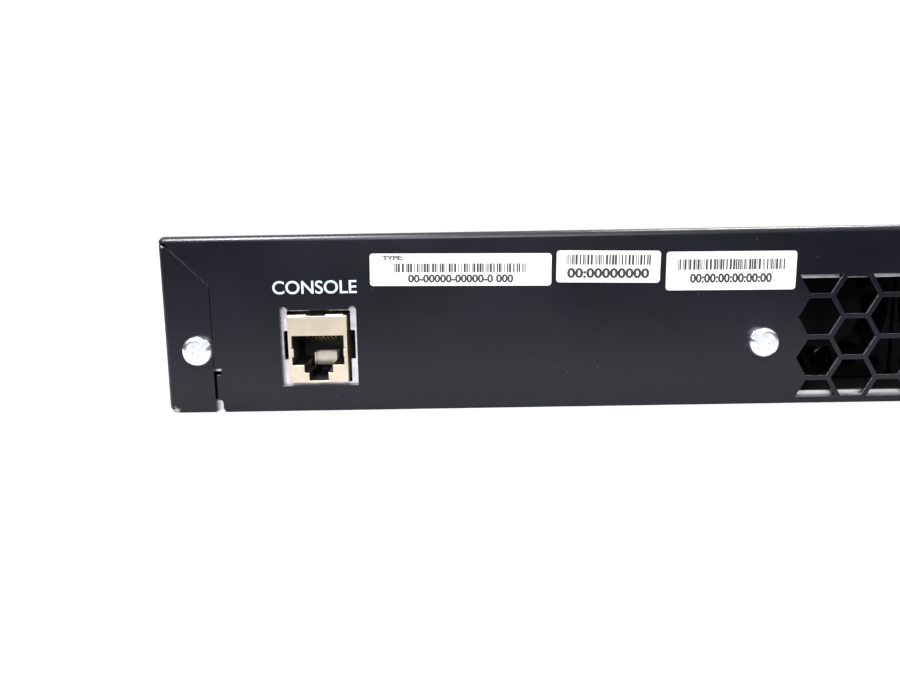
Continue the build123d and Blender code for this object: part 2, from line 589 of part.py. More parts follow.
def make_label(limits, tilt):
    """A thin label, turned by tilt so that its right-hand end as seen from behind is the lower one."""
    a0, a1, z0, z1 = limits
    centre = Pos(along_x((a0 + a1) / 2), REAR_Y + LABEL_T / 2, (z0 + z1) / 2)
    label = Box(a1 - a0, LABEL_T, z1 - z0)
    label = label.fillet(LABEL_CORNER_R, label.edges().filter_by(Axis.Y))
    return centre * Rot(0, -tilt, 0) * label


# ---------------------------------------------------------------- jacks
def make_stacked_jack(x, width, columns):
    """Shield, housing and contacts of a two-storey jack. Upper latches point up and lower latches down."""
    xs = [x + (c - (columns - 1) / 2) * PORT_PITCH for c in range(columns)]
    low, high = BLOCK_LOW, BLOCK_LOW + BLOCK_H
    y0, y1 = BLOCK_FACE_Y, BLOCK_FACE_Y + BLOCK_DEPTH
    inner = SHIELD_T + SHIELD_FIT
    shell = slab(x - width / 2, x + width / 2, y0, y1, low, high)
    side, fit = width / 2 - SHIELD_T, width / 2 - inner
    core = slab(x - side, x + side, y0 + SHIELD_T, y1 - SHIELD_T, low - 1, high - SHIELD_T)
    housing = slab(x - fit, x + fit, y0 + inner, y1 - inner, low, high - inner)
    windows, cavities, contacts = [], [], []
    for px in xs:
        for latch_z, up in ((low + 0.9, 1), (high - 0.9, -1)):
            windows.append(plate_y(jack_outline(px, latch_z, up, 0.1), y0 - 1, y0 + 1))
            cavities.append(plate_y(jack_outline(px, latch_z, up), y0 - 1, y0 + JACK_CAVITY_DEPTH))
            roof = latch_z + up * (JACK_OPEN_H - 0.15)
            contacts += contact_wires(px, roof, y0, 1, -up)
    return cut(shell - core, windows), cut(housing, cavities), contacts


def console_springs(x, face, top):
    """Two leaves that rise from the shield's front edge and run back above it."""
    lift, back = CONSOLE_SPRING_LIFT, -CONSOLE_SPRING_LENGTH
    run = ((-0.05, -0.02), (-0.2, lift - 0.1), (back, lift), (back, lift - 0.25), (-0.6, 0.05), (-0.8, -0.02))
    outline = [(face + a, top + b) for a, b in run]
    return [plate_x(outline, x - a0, x - a1) for a0, a1 in CONSOLE_SPRINGS]


def make_console_jack():
    x = along_x(CONSOLE_ALONG)
    half = CONSOLE_W / 2
    face, back = CONSOLE_FACE_Y, CONSOLE_FACE_Y - CONSOLE_DEPTH
    low, high = BOARD_TOP, BOARD_TOP + CONSOLE_H
    latch_z = low + CONSOLE_LATCH_LOW
    inner = SHIELD_T + SHIELD_FIT
    shell = slab(x - half, x + half, back, face, low, high)
    side, fit = half - SHIELD_T, half - inner
    core = slab(x - side, x + side, back + SHIELD_T, face - SHIELD_T, low - 1, high - SHIELD_T)
    window = plate_y(jack_outline(x, latch_z, 1, 0.1), face - 1, face + 1)
    housing = slab(x - fit, x + fit, back + inner, face - inner, low, high - inner)
    cavity = plate_y(jack_outline(x, latch_z, 1), face + 1, face - JACK_CAVITY_DEPTH)
    housing = cut(housing, [cavity])
    contacts = contact_wires(x, latch_z + JACK_OPEN_H - 0.15, face, -1, -1)
    slits, tabs = [], []
    edge, tab_z = JACK_MAIN + 0.1, (CONSOLE_TAB_LOW, CONSOLE_TAB_HIGH)
    for s, reach in zip((1, -1), CONSOLE_TAB_REACH):
        tabs.append(slab(x + s * (edge - reach), x + s * (edge + 0.1), face - SHIELD_T, face, *tab_z))
        for z in (CONSOLE_TAB_LOW - CONSOLE_SLIT - 0.05, CONSOLE_TAB_HIGH + 0.05):
            x0, x1 = x + s * (edge - 0.1), x + s * (edge + 0.3)
            slits.append(slab(x0, x1, face - 1, face + 1, z, z + CONSOLE_SLIT))
    shield = joined([cut(shell - core, [window] + slits)] + tabs + console_springs(x, face, high))
    return shield, housing, contacts


def make_sfp():
    """A two-storey cage of thin sheet, open at the front, and the two board connectors at its far end."""
    x0, x1 = SFP_X - SFP_W / 2, SFP_X + SFP_W / 2
    y0, y1 = BLOCK_FACE_Y - 0.3, BLOCK_FACE_Y - 0.3 + SFP_LENGTH
    low, high = BOARD_TOP, BOARD_TOP + SFP_H
    mid = (low + high) / 2
    bay = SFP_H / 2 - SHIELD_T - 0.6
    cage = slab(x0, x1, y0, y1, low, high)
    bays = []
    connectors = []
    for z0 in (low + SHIELD_T, mid + 0.6):
        bays.append(slab(x0 + SHIELD_T, x1 - SHIELD_T, y0 - 1, y1 - SHIELD_T, z0, z0 + bay))
        body = slab(x0 + 1.2, x1 - 1.2, y1 - 9.0, y1 - SHIELD_T - 0.1, z0 + 0.1, z0 + bay - 1.0)
        slot = slab(x0 + 2.4, x1 - 2.4, y1 - 10.0, y1 - 4.0, z0 + bay / 2 - 0.8, z0 + bay / 2 + 0.4)
        connectors.append(body - slot)
    web = slab(x0 + 1.5, x1 - 1.5, y0 + 3.0, y1 - 1.0, mid - 0.3, mid + 0.3)
    return cut(cage, bays + [web]), connectors


# ---------------------------------------------------------------- mains inlet and backup socket
def chamfered_rectangle(x, z, width, height, chamfer):
    """The keyed outline of an appliance inlet: its two lower corners are cut off."""
    w, h = width / 2, height / 2
    return [
        (x - w, z + h),
        (x + w, z + h),
        (x + w, z - h + chamfer),
        (x + w - chamfer, z - h),
        (x - w + chamfer, z - h),
        (x - w, z - h + chamfer),
    ]


def make_inlet():
    x, z = along_x(INLET_ALONG), INLET_Z
    mouth, back = REAR_Y + INLET_FLANGE_T, REAR_Y - INLET_BODY_DEPTH
    w, h = INLET_FLANGE_W / 2, INLET_FLANGE_H / 2
    flange = slab(x - w, x + w, REAR_Y, mouth, z - h, z + h)
    flange = flange.fillet(3.0, flange.edges().filter_by(Axis.Y))
    w, h = INLET_BODY_W / 2, INLET_BODY_H / 2
    body = slab(x - w, x + w, back, REAR_Y + 0.5, z - h, z + h)
    outline = chamfered_rectangle(x, z, INLET_CAVITY_W, INLET_CAVITY_H, INLET_CAVITY_CORNER)
    cavity = plate_y(outline, mouth - INLET_CAVITY_DEPTH, mouth + 1)
    pin_holes, pins, screws = [], [], []
    for dx, dz in INLET_PINS:
        px, pz, w, h = x + dx, z + dz, INLET_PIN_W / 2, INLET_PIN_H / 2
        pin_holes.append(slab(px - w, px + w, back - 1, mouth, pz - h, pz + h))
        w, h = w - PIN_FIT, h - PIN_FIT
        pins.append(slab(px - w, px + w, back - 6, mouth - 1.5, pz - h, pz + h))
    screw_holes = []
    for side in (1, -1):
        sx = x + side * INLET_SCREW_SPACING / 2
        screw_holes.append(rod(sx, REAR_Y - 1, z, 1.7, INLET_FLANGE_T + 2, (0, 1, 0)))
        screw_holes.append(cone(sx, mouth - 1.6, z, 1.7, 3.2, 1.6, (0, 1, 0)))
        arms = cross_arms(INLET_CROSS_R, INLET_CROSS_HALF_W)
        head = cone(sx, mouth, z, INLET_SCREW_HEAD_R, M3_R, INLET_SCREW_HEAD_H, (0, -1, 0))
        shank = rod(sx, mouth - INLET_SCREW_HEAD_H + 0.1, z, M3_R, INLET_SCREW_LENGTH, (0, -1, 0))
        recess = [slab(sx - a, sx + a, mouth - 1.1, mouth + 1, z - b, z + b) for a, b in arms]
        screws.append(cut(joined([head, shank]), recess))
    return cut(joined([flange, body]), [cavity] + pin_holes + screw_holes), pins, screws


def make_backup_socket():
    """A keyed two-row socket for a redundant supply, flush with the back."""
    x, z = along_x(BACKUP_ALONG), BACKUP_Z
    w, h = BACKUP_W / 2, BACKUP_H / 2
    face, back = REAR_Y + 0.6, REAR_Y + 0.6 - BACKUP_DEPTH
    body = slab(x - w, x + w, back, face, z - h, z + h)
    cavity = slab(x - w + 1.6, x + w - 1.6, back + 6.0, face + 1, z - h + 1.6, z + h - 1.6)
    key = slab(x - 3.0, x + 3.0, face - 12, face + 1, z + h - 2, z + h - 0.7)
    pins, holes = [], []
    for column in range(8):
        px = x + (column - 3.5) * 4.9
        for dz in (-2.4, 2.4):
            holes.append(rod(px, back - 1, z + dz, 0.8, 10, (0, 1, 0)))
            pins.append(rod(px, back - 3, z + dz, 0.78, 17, (0, 1, 0)))
    return cut(body, [cavity, key] + holes), pins


# ---------------------------------------------------------------- front controls
def make_mode_button():
    """A round cap on a stem, and the switch that the stem works."""
    cap = rod(STATUS_X, FRONT_Y - 0.9, MODE_Z, MODE_R, 4.2, (0, 1, 0))
    rim = cap.edges().filter_by(GeomType.CIRCLE).filter_by_position(Axis.Y, FRONT_Y - 1, FRONT_Y - 0.8)
    cap = cap.fillet(0.6, rim)
    collar = rod(STATUS_X, FRONT_Y + BEZEL_WALL + 0.1, MODE_Z, MODE_HOLE_R + 0.9, 0.8, (0, 1, 0))
    tip_y = FRONT_Y + 12.6
    stem = rod(STATUS_X, FRONT_Y + 3.2, MODE_Z, 1.6, tip_y - FRONT_Y - 3.2, (0, 1, 0))
    button = joined([cap, collar, stem])
    plunger = rod(STATUS_X, tip_y, MODE_Z, 1.2, 2.2, (0, 1, 0))
    case = slab(STATUS_X - 3, STATUS_X + 3, tip_y + 1.0, tip_y + 4.4, BOARD_TOP, MODE_Z + 2.8)
    well = rod(STATUS_X, tip_y - 1, MODE_Z, 1.25, 4.4, (0, 1, 0))
    return button, plunger, case - well


def make_light_pipes(places, back_y):
    half = LIGHT_SIZE / 2
    return [slab(x - half, x + half, FRONT_Y - 0.15, back_y, z - half, z + half) for x, z in places]


# ---------------------------------------------------------------- fans
def fan_x(i):
    return along_x(FAN_MID_ALONG) + (1 - i) * FAN_PITCH


def make_fan_frame(x):
    y0, y1 = FAN_REAR_Y - FAN_THICK, FAN_REAR_Y
    half = FAN_SIZE / 2
    frame = slab(x - half, x + half, y0, y1, FAN_Z - half, FAN_Z + half)
    frame = frame.fillet(2.5, frame.edges().filter_by(Axis.Y))
    tools = [rod(x, y0 - 1, FAN_Z, FAN_BORE_R, FAN_THICK + 2, (0, 1, 0))]
    for dx, dz in FAN_HOLES:
        tools.append(rod(x + dx, y0 - 1, FAN_Z + dz, M3_CLEAR_R, FAN_THICK + 2, (0, 1, 0)))
    ring = cut(frame, tools)
    mount = rod(x, y1 - FAN_MOUNT_T, FAN_Z, FAN_MOUNT_R, FAN_MOUNT_T, (0, 1, 0))
    spokes = []
    for angle in (20, 110, 200, 290):
        spoke = Box(FAN_BORE_R - 10.0, FAN_SPOKE_W, 2.0)
        centre = Pos(x, y1 - 1.1, FAN_Z) * Rot(0, angle, 0) * Pos((FAN_BORE_R + 10.6) / 2, 0, 0)
        spokes.append(centre * spoke)
    return joined([ring, mount] + spokes)


def make_fan_stator(x):
    """Coil pack and bearing tube, standing on the frame's mount."""
    y1 = FAN_REAR_Y - FAN_MOUNT_T
    tube_part = rod(x, y1, FAN_Z, STATOR_TUBE_R, 12.0, (0, -1, 0))
    coil = rod(x, y1 - 2.0, FAN_Z, STATOR_COIL_R, 7.0, (0, -1, 0))
    bore = rod(x, y1 + 1, FAN_Z, SHAFT_R + BEARING_CLEARANCE, 15.0, (0, -1, 0))
    board = rod(x, y1, FAN_Z, STATOR_BOARD_R, 1.0, (0, -1, 0))
    return cut(joined([tube_part, coil, board]), [bore])


def make_blade(x, y_mid, angle):
    """One blade: a thin slab whose pitch eases from hub to tip."""
    sections = []
    for radius, pitch, chord, thick in BLADE_SECTIONS:
        plane = Plane((radius, 0, 0), x_dir=(0, 1, 0), z_dir=(1, 0, 0))
        sections.append(plane * (Rot(0, 0, pitch) * Rectangle(chord, thick)))
    blade = loft(Sketch() + sections)
    return Pos(x, y_mid, FAN_Z) * Rot(0, angle, 0) * blade


def make_fan_rotor(x):
    """Hub cup, shaft and blades as one moulding."""
    y_front = FAN_REAR_Y - FAN_THICK + 1.2
    cup = rod(x, y_front, FAN_Z, FAN_HUB_R, 15.6, (0, 1, 0))
    rims = cup.edges().filter_by(GeomType.CIRCLE)
    cup = cup.fillet(1.0, rims.filter_by_position(Axis.Y, y_front - 0.1, y_front + 0.1))
    hollow = rod(x, y_front + 1.6, FAN_Z, FAN_HUB_R - FAN_WALL, 16.0, (0, 1, 0))
    shaft = rod(x, y_front + 1.0, FAN_Z, SHAFT_R, 14.5, (0, 1, 0))
    y_mid = y_front + 7.6
    blades = [make_blade(x, y_mid, i * 360 / FAN_BLADES) for i in range(FAN_BLADES)]
    bladed = cut(joined([cup] + blades), [hollow])
    return joined([bladed, shaft])


def make_fan_tray():
    """An upright plate with a foot, which the fans bolt to."""
    y1 = FAN_REAR_Y - FAN_THICK
    y0 = y1 - 1.2
    x0, x1 = fan_x(FAN_COUNT - 1) - 21.0, fan_x(0) + 21.0
    tray = joined([slab(x0, x1, y0, y1, SHEET, 42.0), slab(x0, x1, y0 - 14.0, y1, SHEET, SHEET + 1.2)])
    tools = []
    for i in range(FAN_COUNT):
        tools.append(rod(fan_x(i), y0 - 1, FAN_Z, TRAY_BORE_R, 4.0, (0, 1, 0)))
        tools += [rod(fan_x(i) + dx, y0 - 1, FAN_Z + dz, M3_CLEAR_R, 4.0, (0, 1, 0)) for dx, dz in FAN_HOLES]
    return cut(tray, tools)


def make_fan_leads():
    """One sleeved lead per fan, from its frame over the tray foot to a header on the main board."""
    leads = []
    tray_y = FAN_REAR_Y - FAN_THICK - 1.5
    for i in range(FAN_COUNT):
        x, lane = fan_x(i) + 15.0, 90.0 - i * 5.0
        header_x = BOARD_REAR_X0 + 14.0
        points = [
            (x, tray_y, 39.3),
            (x, tray_y - 7.0, 39.3),
            (x + 4.0, tray_y - 14.0, 33.0),
            (x + 8.0, tray_y - 22.0, 24.0 - 2.0 * i),
            (x + 20.0, lane + 1.0, 17.0 - 2.0 * i),
            (header_x - 12.0, lane, 14.0 - 1.0 * i),
            (header_x, lane, 11.2),
        ]
        leads.append(tube(points, corner_radii(points), 1.1))
    return leads


def corner_radii(points):
    """For each corner, 0.45 of its shorter run divided by the tangent of half the turn."""
    radii = []
    for before, here, after in zip(points, points[1:], points[2:]):
        a, b = Vector(*here) - Vector(*before), Vector(*after) - Vector(*here)
        half_turn = radians(a.get_angle(b)) / 2
        radii.append(0.45 * min(a.length, b.length) / tan(half_turn))
    return radii


# ---------------------------------------------------------------- boards and power supply
def make_main_board():
    outline = [
        (-BOARD_HALF_W, BOARD_FRONT_Y),
        (BOARD_HALF_W, BOARD_FRONT_Y),
        (BOARD_HALF_W, BOARD_CORNER[1]),
        (BOARD_CORNER[0], BOARD_CORNER[1]),
        (BOARD_CORNER[0], BOARD_REAR_Y),
        (BOARD_REAR_X0, BOARD_REAR_Y),
        (BOARD_REAR_X0, BOARD_SPLIT_Y),
        (-BOARD_HALF_W, BOARD_SPLIT_Y),
    ]
    board = plate_z(outline, BOARD_LOW, BOARD_TOP)
    return cut(board, [rod(x, y, BOARD_LOW - 1, M3_CLEAR_R, BOARD_T + 2, (0, 0, 1)) for x, y in BOARD_HOLES])


def make_psu_board():
    x0, x1, y0, y1 = PSU_BOARD
    board = slab(x0, x1, y0, y1, BOARD_LOW, BOARD_TOP)
    return cut(board, [rod(x, y, BOARD_LOW - 1, M3_CLEAR_R, BOARD_T + 2, (0, 0, 1)) for x, y in PSU_HOLES])


def make_standoffs():
    pillars = []
    for x, y in BOARD_HOLES + PSU_HOLES:
        turns = [radians(a) for a in range(0, 360, 60)]
        outline = [(x + STANDOFF_R * cos(turn), y + STANDOFF_R * sin(turn)) for turn in turns]
        thread = rod(x, y, SHEET + 0.5, M3_THREAD_R, 9, (0, 0, 1))
        pillars.append(cut(plate_z(outline, SHEET, BOARD_LOW), [thread]))
    return pillars


def make_board_screws():
    screws = []
    for x, y in BOARD_HOLES + PSU_HOLES:
        head = rod(x, y, BOARD_TOP, BOARD_SCREW_HEAD_R, BOARD_SCREW_HEAD_H, (0, 0, 1))
        shank = rod(x, y, BOARD_TOP + 0.2, M3_R, BOARD_SCREW_LENGTH, (0, 0, -1))
        floor, out = BOARD_TOP + 0.7, BOARD_TOP + 3
        recess = [slab(x - a, x + a, y - b, y + b, floor, out) for a, b in cross_arms(*BOARD_SCREW_CROSS)]
        screws.append(cut(joined([head, shank]), recess))
    return screws


# chip centres and sizes: x, y, side, height
CHIPS = (
    (-110.0, -88.0, 35.0, 2.6),
    (20.0, -88.0, 35.0, 2.6),
    (135.0, -20.0, 27.0, 2.4),
    (110.0, 18.0, 12.0, 1.2),
    (128.0, 18.0, 12.0, 1.2),
    (150.0, 18.0, 12.0, 1.2),
    (168.0, 18.0, 12.0, 1.2),
    (180.0, -20.0, 20.0, 1.6),
    (160.0, 110.0, 14.0, 1.4),
)
SINKS = (0, 1, 2)


def make_chips():
    return [
        slab(x - side / 2, x + side / 2, y - side / 2, y + side / 2, BOARD_TOP, BOARD_TOP + high)
        for x, y, side, high in CHIPS
    ]


def make_heatsinks():
    sinks = []
    for index in SINKS:
        x, y, size, height = CHIPS[index]
        half, low = size / 2 + 4, BOARD_TOP + height
        base = slab(x - half, x + half, y - half, y + half, low, low + 3.0)
        count = 9
        pitch = (2 * half - 1.2) / (count - 1)
        edges = [x - half + i * pitch for i in range(count)]
        fins = [slab(edge, edge + 1.2, y - half, y + half, low + 2.9, low + 15.0) for edge in edges]
        sinks.append(joined([base] + fins))
    return sinks


def make_magnetics():
    """Line transformers behind the jacks, one package for each column of two ports."""
    packs = []
    y0 = BLOCK_FACE_Y + BLOCK_DEPTH + 4.0
    for block in range(BLOCKS):
        for column in range(PORT_COLUMNS):
            x = port_x(block, column)
            pack = slab(x - 6.0, x + 6.0, y0, y0 + 17.0, BOARD_TOP, BOARD_TOP + 6.5)
            packs.append(pack.chamfer(0.6, None, pack.edges().group_by(Axis.Z)[-1]))
    return packs


def make_poe_cards():
    """Upright daughter boards that feed power to the ports, each with its chips in relief."""
    cards = []
    for x in (-170.0, -52.0, 78.0, 172.0):
        card = slab(x - 24, x + 24, -71.0, -69.4, BOARD_TOP, BOARD_TOP + 27.0)
        parts = [slab(x + dx - 4, x + dx + 4, -72.4, -70.9, 18.0, 26.0) for dx in (-15, 0, 15)]
        header = slab(x - 20, x + 20, -69.5, -66.5, BOARD_TOP, BOARD_TOP + 6.0)
        cards.append(joined([card, header] + parts))
    return cards


# transformers: x, y, width, depth, height; chokes: x, y; capacitors: x, y, radius, height
TRANSFORMERS = (
    (-128.0, 38.0, 40.0, 36.0, 27.0),
    (-96.0, 96.0, 24.0, 22.0, 20.0),
    (-176.0, 104.0, 26.0, 22.0, 22.0),
)
CHOKES = ((-200.0, 108.0), (-200.0, 78.0))
CAPACITORS = (
    (-199.0, 38.0, 12.5, 31.0),
    (-199.0, 10.0, 12.5, 31.0),
    (-172.0, 24.0, 12.5, 31.0),
    (-84.0, -12.0, 6.3, 25.0),
    (-98.0, -12.0, 6.3, 25.0),
    (-112.0, -12.0, 6.3, 25.0),
    (-84.0, 4.0, 6.3, 25.0),
    (-152.0, 84.0, 5.0, 18.0),
    (-152.0, 98.0, 5.0, 18.0),
)


def make_psu_transformers():
    """Main and standby transformers as core and winding, and two toroid chokes."""
    wound = []
    for x, y, w, d, h in TRANSFORMERS:
        low = BOARD_TOP
        core = slab(x - w / 2, x + w / 2, y - d / 4, y + d / 4, low + 2, low + h)
        winding = Pos(x, y, low + h / 2) * Box(w * 0.62, d, h * 0.72)
        foot = slab(x - w / 2, x + w / 2, y - d / 2.2, y + d / 2.2, low, low + 2.5)
        wound.append(joined([core, winding, foot]))
    for x, y in CHOKES:
        torus = Solid.make_torus(7.0, 3.6, Plane((x, y, BOARD_TOP + 11.0), z_dir=(1, 0, 0)))
        wound.append(joined([torus, slab(x - 5, x + 5, y - 8, y + 8, BOARD_TOP, BOARD_TOP + 1.5)]))
    return wound


def make_psu_capacitors():
    cans = []
    for x, y, r, h in CAPACITORS:
        can = rod(x, y, BOARD_TOP, r, h, (0, 0, 1))
        rim = can.edges().filter_by(GeomType.CIRCLE).sort_by(Axis.Z)[-1]
        cans.append(can.fillet(0.8, [rim]))
    return cans


def make_psu_heatsinks():
    sinks = []
    for x, y0, y1, reach in ((-156.0, -22.0, 70.0, 6.5), (-90.0, 18.0, 82.0, 9.0)):
        plate = slab(x - 1.5, x + 1.5, y0, y1, BOARD_TOP, 38.0)
        fin_ys = [y0 + 4 + 8 * i for i in range(int((y1 - y0 - 6) / 8))]
        fins = [slab(x, x + reach, y, y + 1.2, BOARD_TOP + 3, 36.0) for y in fin_ys]
        sinks.append(joined([plate] + fins))
    return sinks


HARNESS_WIRES, HARNESS_R = 6, 0.95


def make_power_harness():
    """Supply wires from the power board across to the main board, and the plug housing at each end."""
    wires = []
    for i in range(HARNESS_WIRES):
        dx = i * 2.4
        points = [
            (-94.0 + dx, -24.0, BOARD_TOP + 6.1),
            (-94.0 + dx, -24.0, 19.0),
            (-94.0 + dx, -32.0, 26.0),
            (-94.0 + dx, -44.0, 26.0),
            (-94.0 + dx, -52.0, 19.0),
            (-94.0 + dx, -52.0, BOARD_TOP + 6.1),
        ]
        wires.append(tube(points, corner_radii(points), HARNESS_R))
    plugs = [slab(-97.0, -79.0, y - 3.0, y + 3.0, BOARD_TOP, BOARD_TOP + 6.0) for y in (-24.0, -52.0)]
    return wires + plugs


# ---------------------------------------------------------------- build everything
def build():
    keep("top_cover", make_top_cover())
    keep("base_pan", make_base_pan())
    keep("rear_panel", make_rear_panel())
    keep("front_panel", make_front_panel())
    keep("front_bezel", make_front_bezel())
    keep("rack_ear_right", make_rack_ear(1))
    keep("rack_ear_left", make_rack_ear(-1))
    keep("rack_ear_screws", make_rack_ear_screws())
    keep("cover_screws", make_cover_screws())
    for name, limits in LABELS.items():
        keep(name, make_label(limits, LABEL_TILTS[name]))

    port_contacts = []
    for block in range(BLOCKS):
        shield, housing, contacts = make_stacked_jack(block_centre(block), BLOCK_W, PORT_COLUMNS)
        keep(f"port_shield_{block + 1}", shield)
        keep(f"port_housing_{block + 1}", housing)
        port_contacts += contacts
    keep("port_contacts", port_contacts)
    shield, housing, contacts = make_stacked_jack(UPLINK_X, UPLINK_W, 1)
    keep("uplink_shield", shield)
    keep("uplink_housing", housing)
    keep("uplink_contacts", contacts)
    shield, housing, contacts = make_console_jack()
    keep("console_shield", shield)
    keep("console_housing", housing)
    keep("console_contacts", contacts)
    cage, connectors = make_sfp()
    keep("sfp_cage", cage)
    keep("sfp_connectors", connectors)

    inlet, pins, screws = make_inlet()
    keep("mains_inlet", inlet)
    keep("mains_inlet_pins", pins)
    keep("mains_inlet_screws", screws)
    socket, pins = make_backup_socket()
    keep("backup_socket", socket)
    keep("backup_socket_pins", pins)

    button, plunger, case = make_mode_button()
    keep("mode_button", button)
    keep("mode_switch_plunger", plunger)
    keep("mode_switch", case)
    keep("status_light_pipes", make_light_pipes([(STATUS_X, z) for z in STATUS_LIGHTS_Z], FRONT_Y + 12))
    keep("port_light_pipes", make_light_pipes(light_places(), FRONT_Y + 10))

    for i in range(FAN_COUNT):
        keep(f"fan_frame_{i + 1}", make_fan_frame(fan_x(i)))
        keep(f"fan_rotor_{i + 1}", make_fan_rotor(fan_x(i)))
    keep("fan_stators", [make_fan_stator(fan_x(i)) for i in range(FAN_COUNT)])
    keep("fan_tray", make_fan_tray())
    keep("fan_leads", make_fan_leads())

    keep("main_board", make_main_board())
    keep("board_standoffs", make_standoffs())
    keep("board_screws", make_board_screws())
    keep("switch_chips", make_chips())
    keep("chip_heatsinks", make_heatsinks())
    keep("line_magnetics", make_magnetics())
    keep("poe_cards", make_poe_cards())
    keep("psu_board", make_psu_board())
    keep("psu_transformers", make_psu_transformers())
    keep("psu_capacitors", make_psu_capacitors())
    keep("psu_heatsinks", make_psu_heatsinks())
    keep("power_harness", make_power_harness())


build()
os.makedirs("parts", exist_ok=True)
for name, solids in nodes.items():
    shape = solids[0] if len(solids) == 1 else Compound(solids)
    shape.label = name
    export_step(shape, f"parts/{name}.step")
print(len(nodes), "nodes")
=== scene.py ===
# Looks for a one-unit rackmount network switch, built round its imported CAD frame. Lengths are in metres.
import json
from math import cos, radians, sin
from random import Random

import bmesh
import bpy
from mathutils import Matrix, Vector


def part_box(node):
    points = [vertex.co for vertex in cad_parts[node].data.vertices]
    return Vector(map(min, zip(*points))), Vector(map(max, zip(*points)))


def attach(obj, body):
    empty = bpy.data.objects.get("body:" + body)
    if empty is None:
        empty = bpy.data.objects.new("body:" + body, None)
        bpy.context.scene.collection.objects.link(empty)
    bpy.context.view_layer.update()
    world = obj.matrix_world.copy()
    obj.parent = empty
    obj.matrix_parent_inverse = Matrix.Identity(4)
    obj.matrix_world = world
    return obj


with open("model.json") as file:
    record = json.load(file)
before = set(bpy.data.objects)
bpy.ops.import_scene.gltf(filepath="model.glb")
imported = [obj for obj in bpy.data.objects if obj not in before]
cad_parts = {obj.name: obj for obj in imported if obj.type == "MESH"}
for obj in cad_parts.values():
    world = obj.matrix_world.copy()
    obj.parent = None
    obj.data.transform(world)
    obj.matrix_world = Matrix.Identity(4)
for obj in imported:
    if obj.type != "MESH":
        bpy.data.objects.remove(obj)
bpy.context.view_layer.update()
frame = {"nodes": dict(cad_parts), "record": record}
nodes = frame["nodes"]
MM = 0.001

COVER_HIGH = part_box("top_cover")[1]
REAR_FACE = COVER_HIGH.y
LEFT_END = COVER_HIGH.x
UNIT_HEIGHT = COVER_HIGH.z
FRONT_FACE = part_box("front_bezel")[0].y

# letters on the back run towards -X and face +Y, and on the front they run towards +X and face -Y
REAR_AXES = Matrix(((-1, 0, 0), (0, 0, 1), (0, 1, 0))).transposed()
FRONT_AXES = Matrix(((1, 0, 0), (0, 0, 1), (0, -1, 0))).transposed()


def behind(along, up, out=0.0):
    """A point on the back, from its left-hand end as seen from behind, in millimetres."""
    return Vector((LEFT_END - along * MM, REAR_FACE + out * MM, up * MM))


# ---------------------------------------------------------------- material kit
def set_range(node, low, high, out_low, out_high):
    """Fills in a map range node: the value's range, then the range that it comes out in."""
    for socket, number in (("From Min", low), ("From Max", high), ("To Min", out_low), ("To Max", out_high)):
        node.inputs[socket].default_value = number


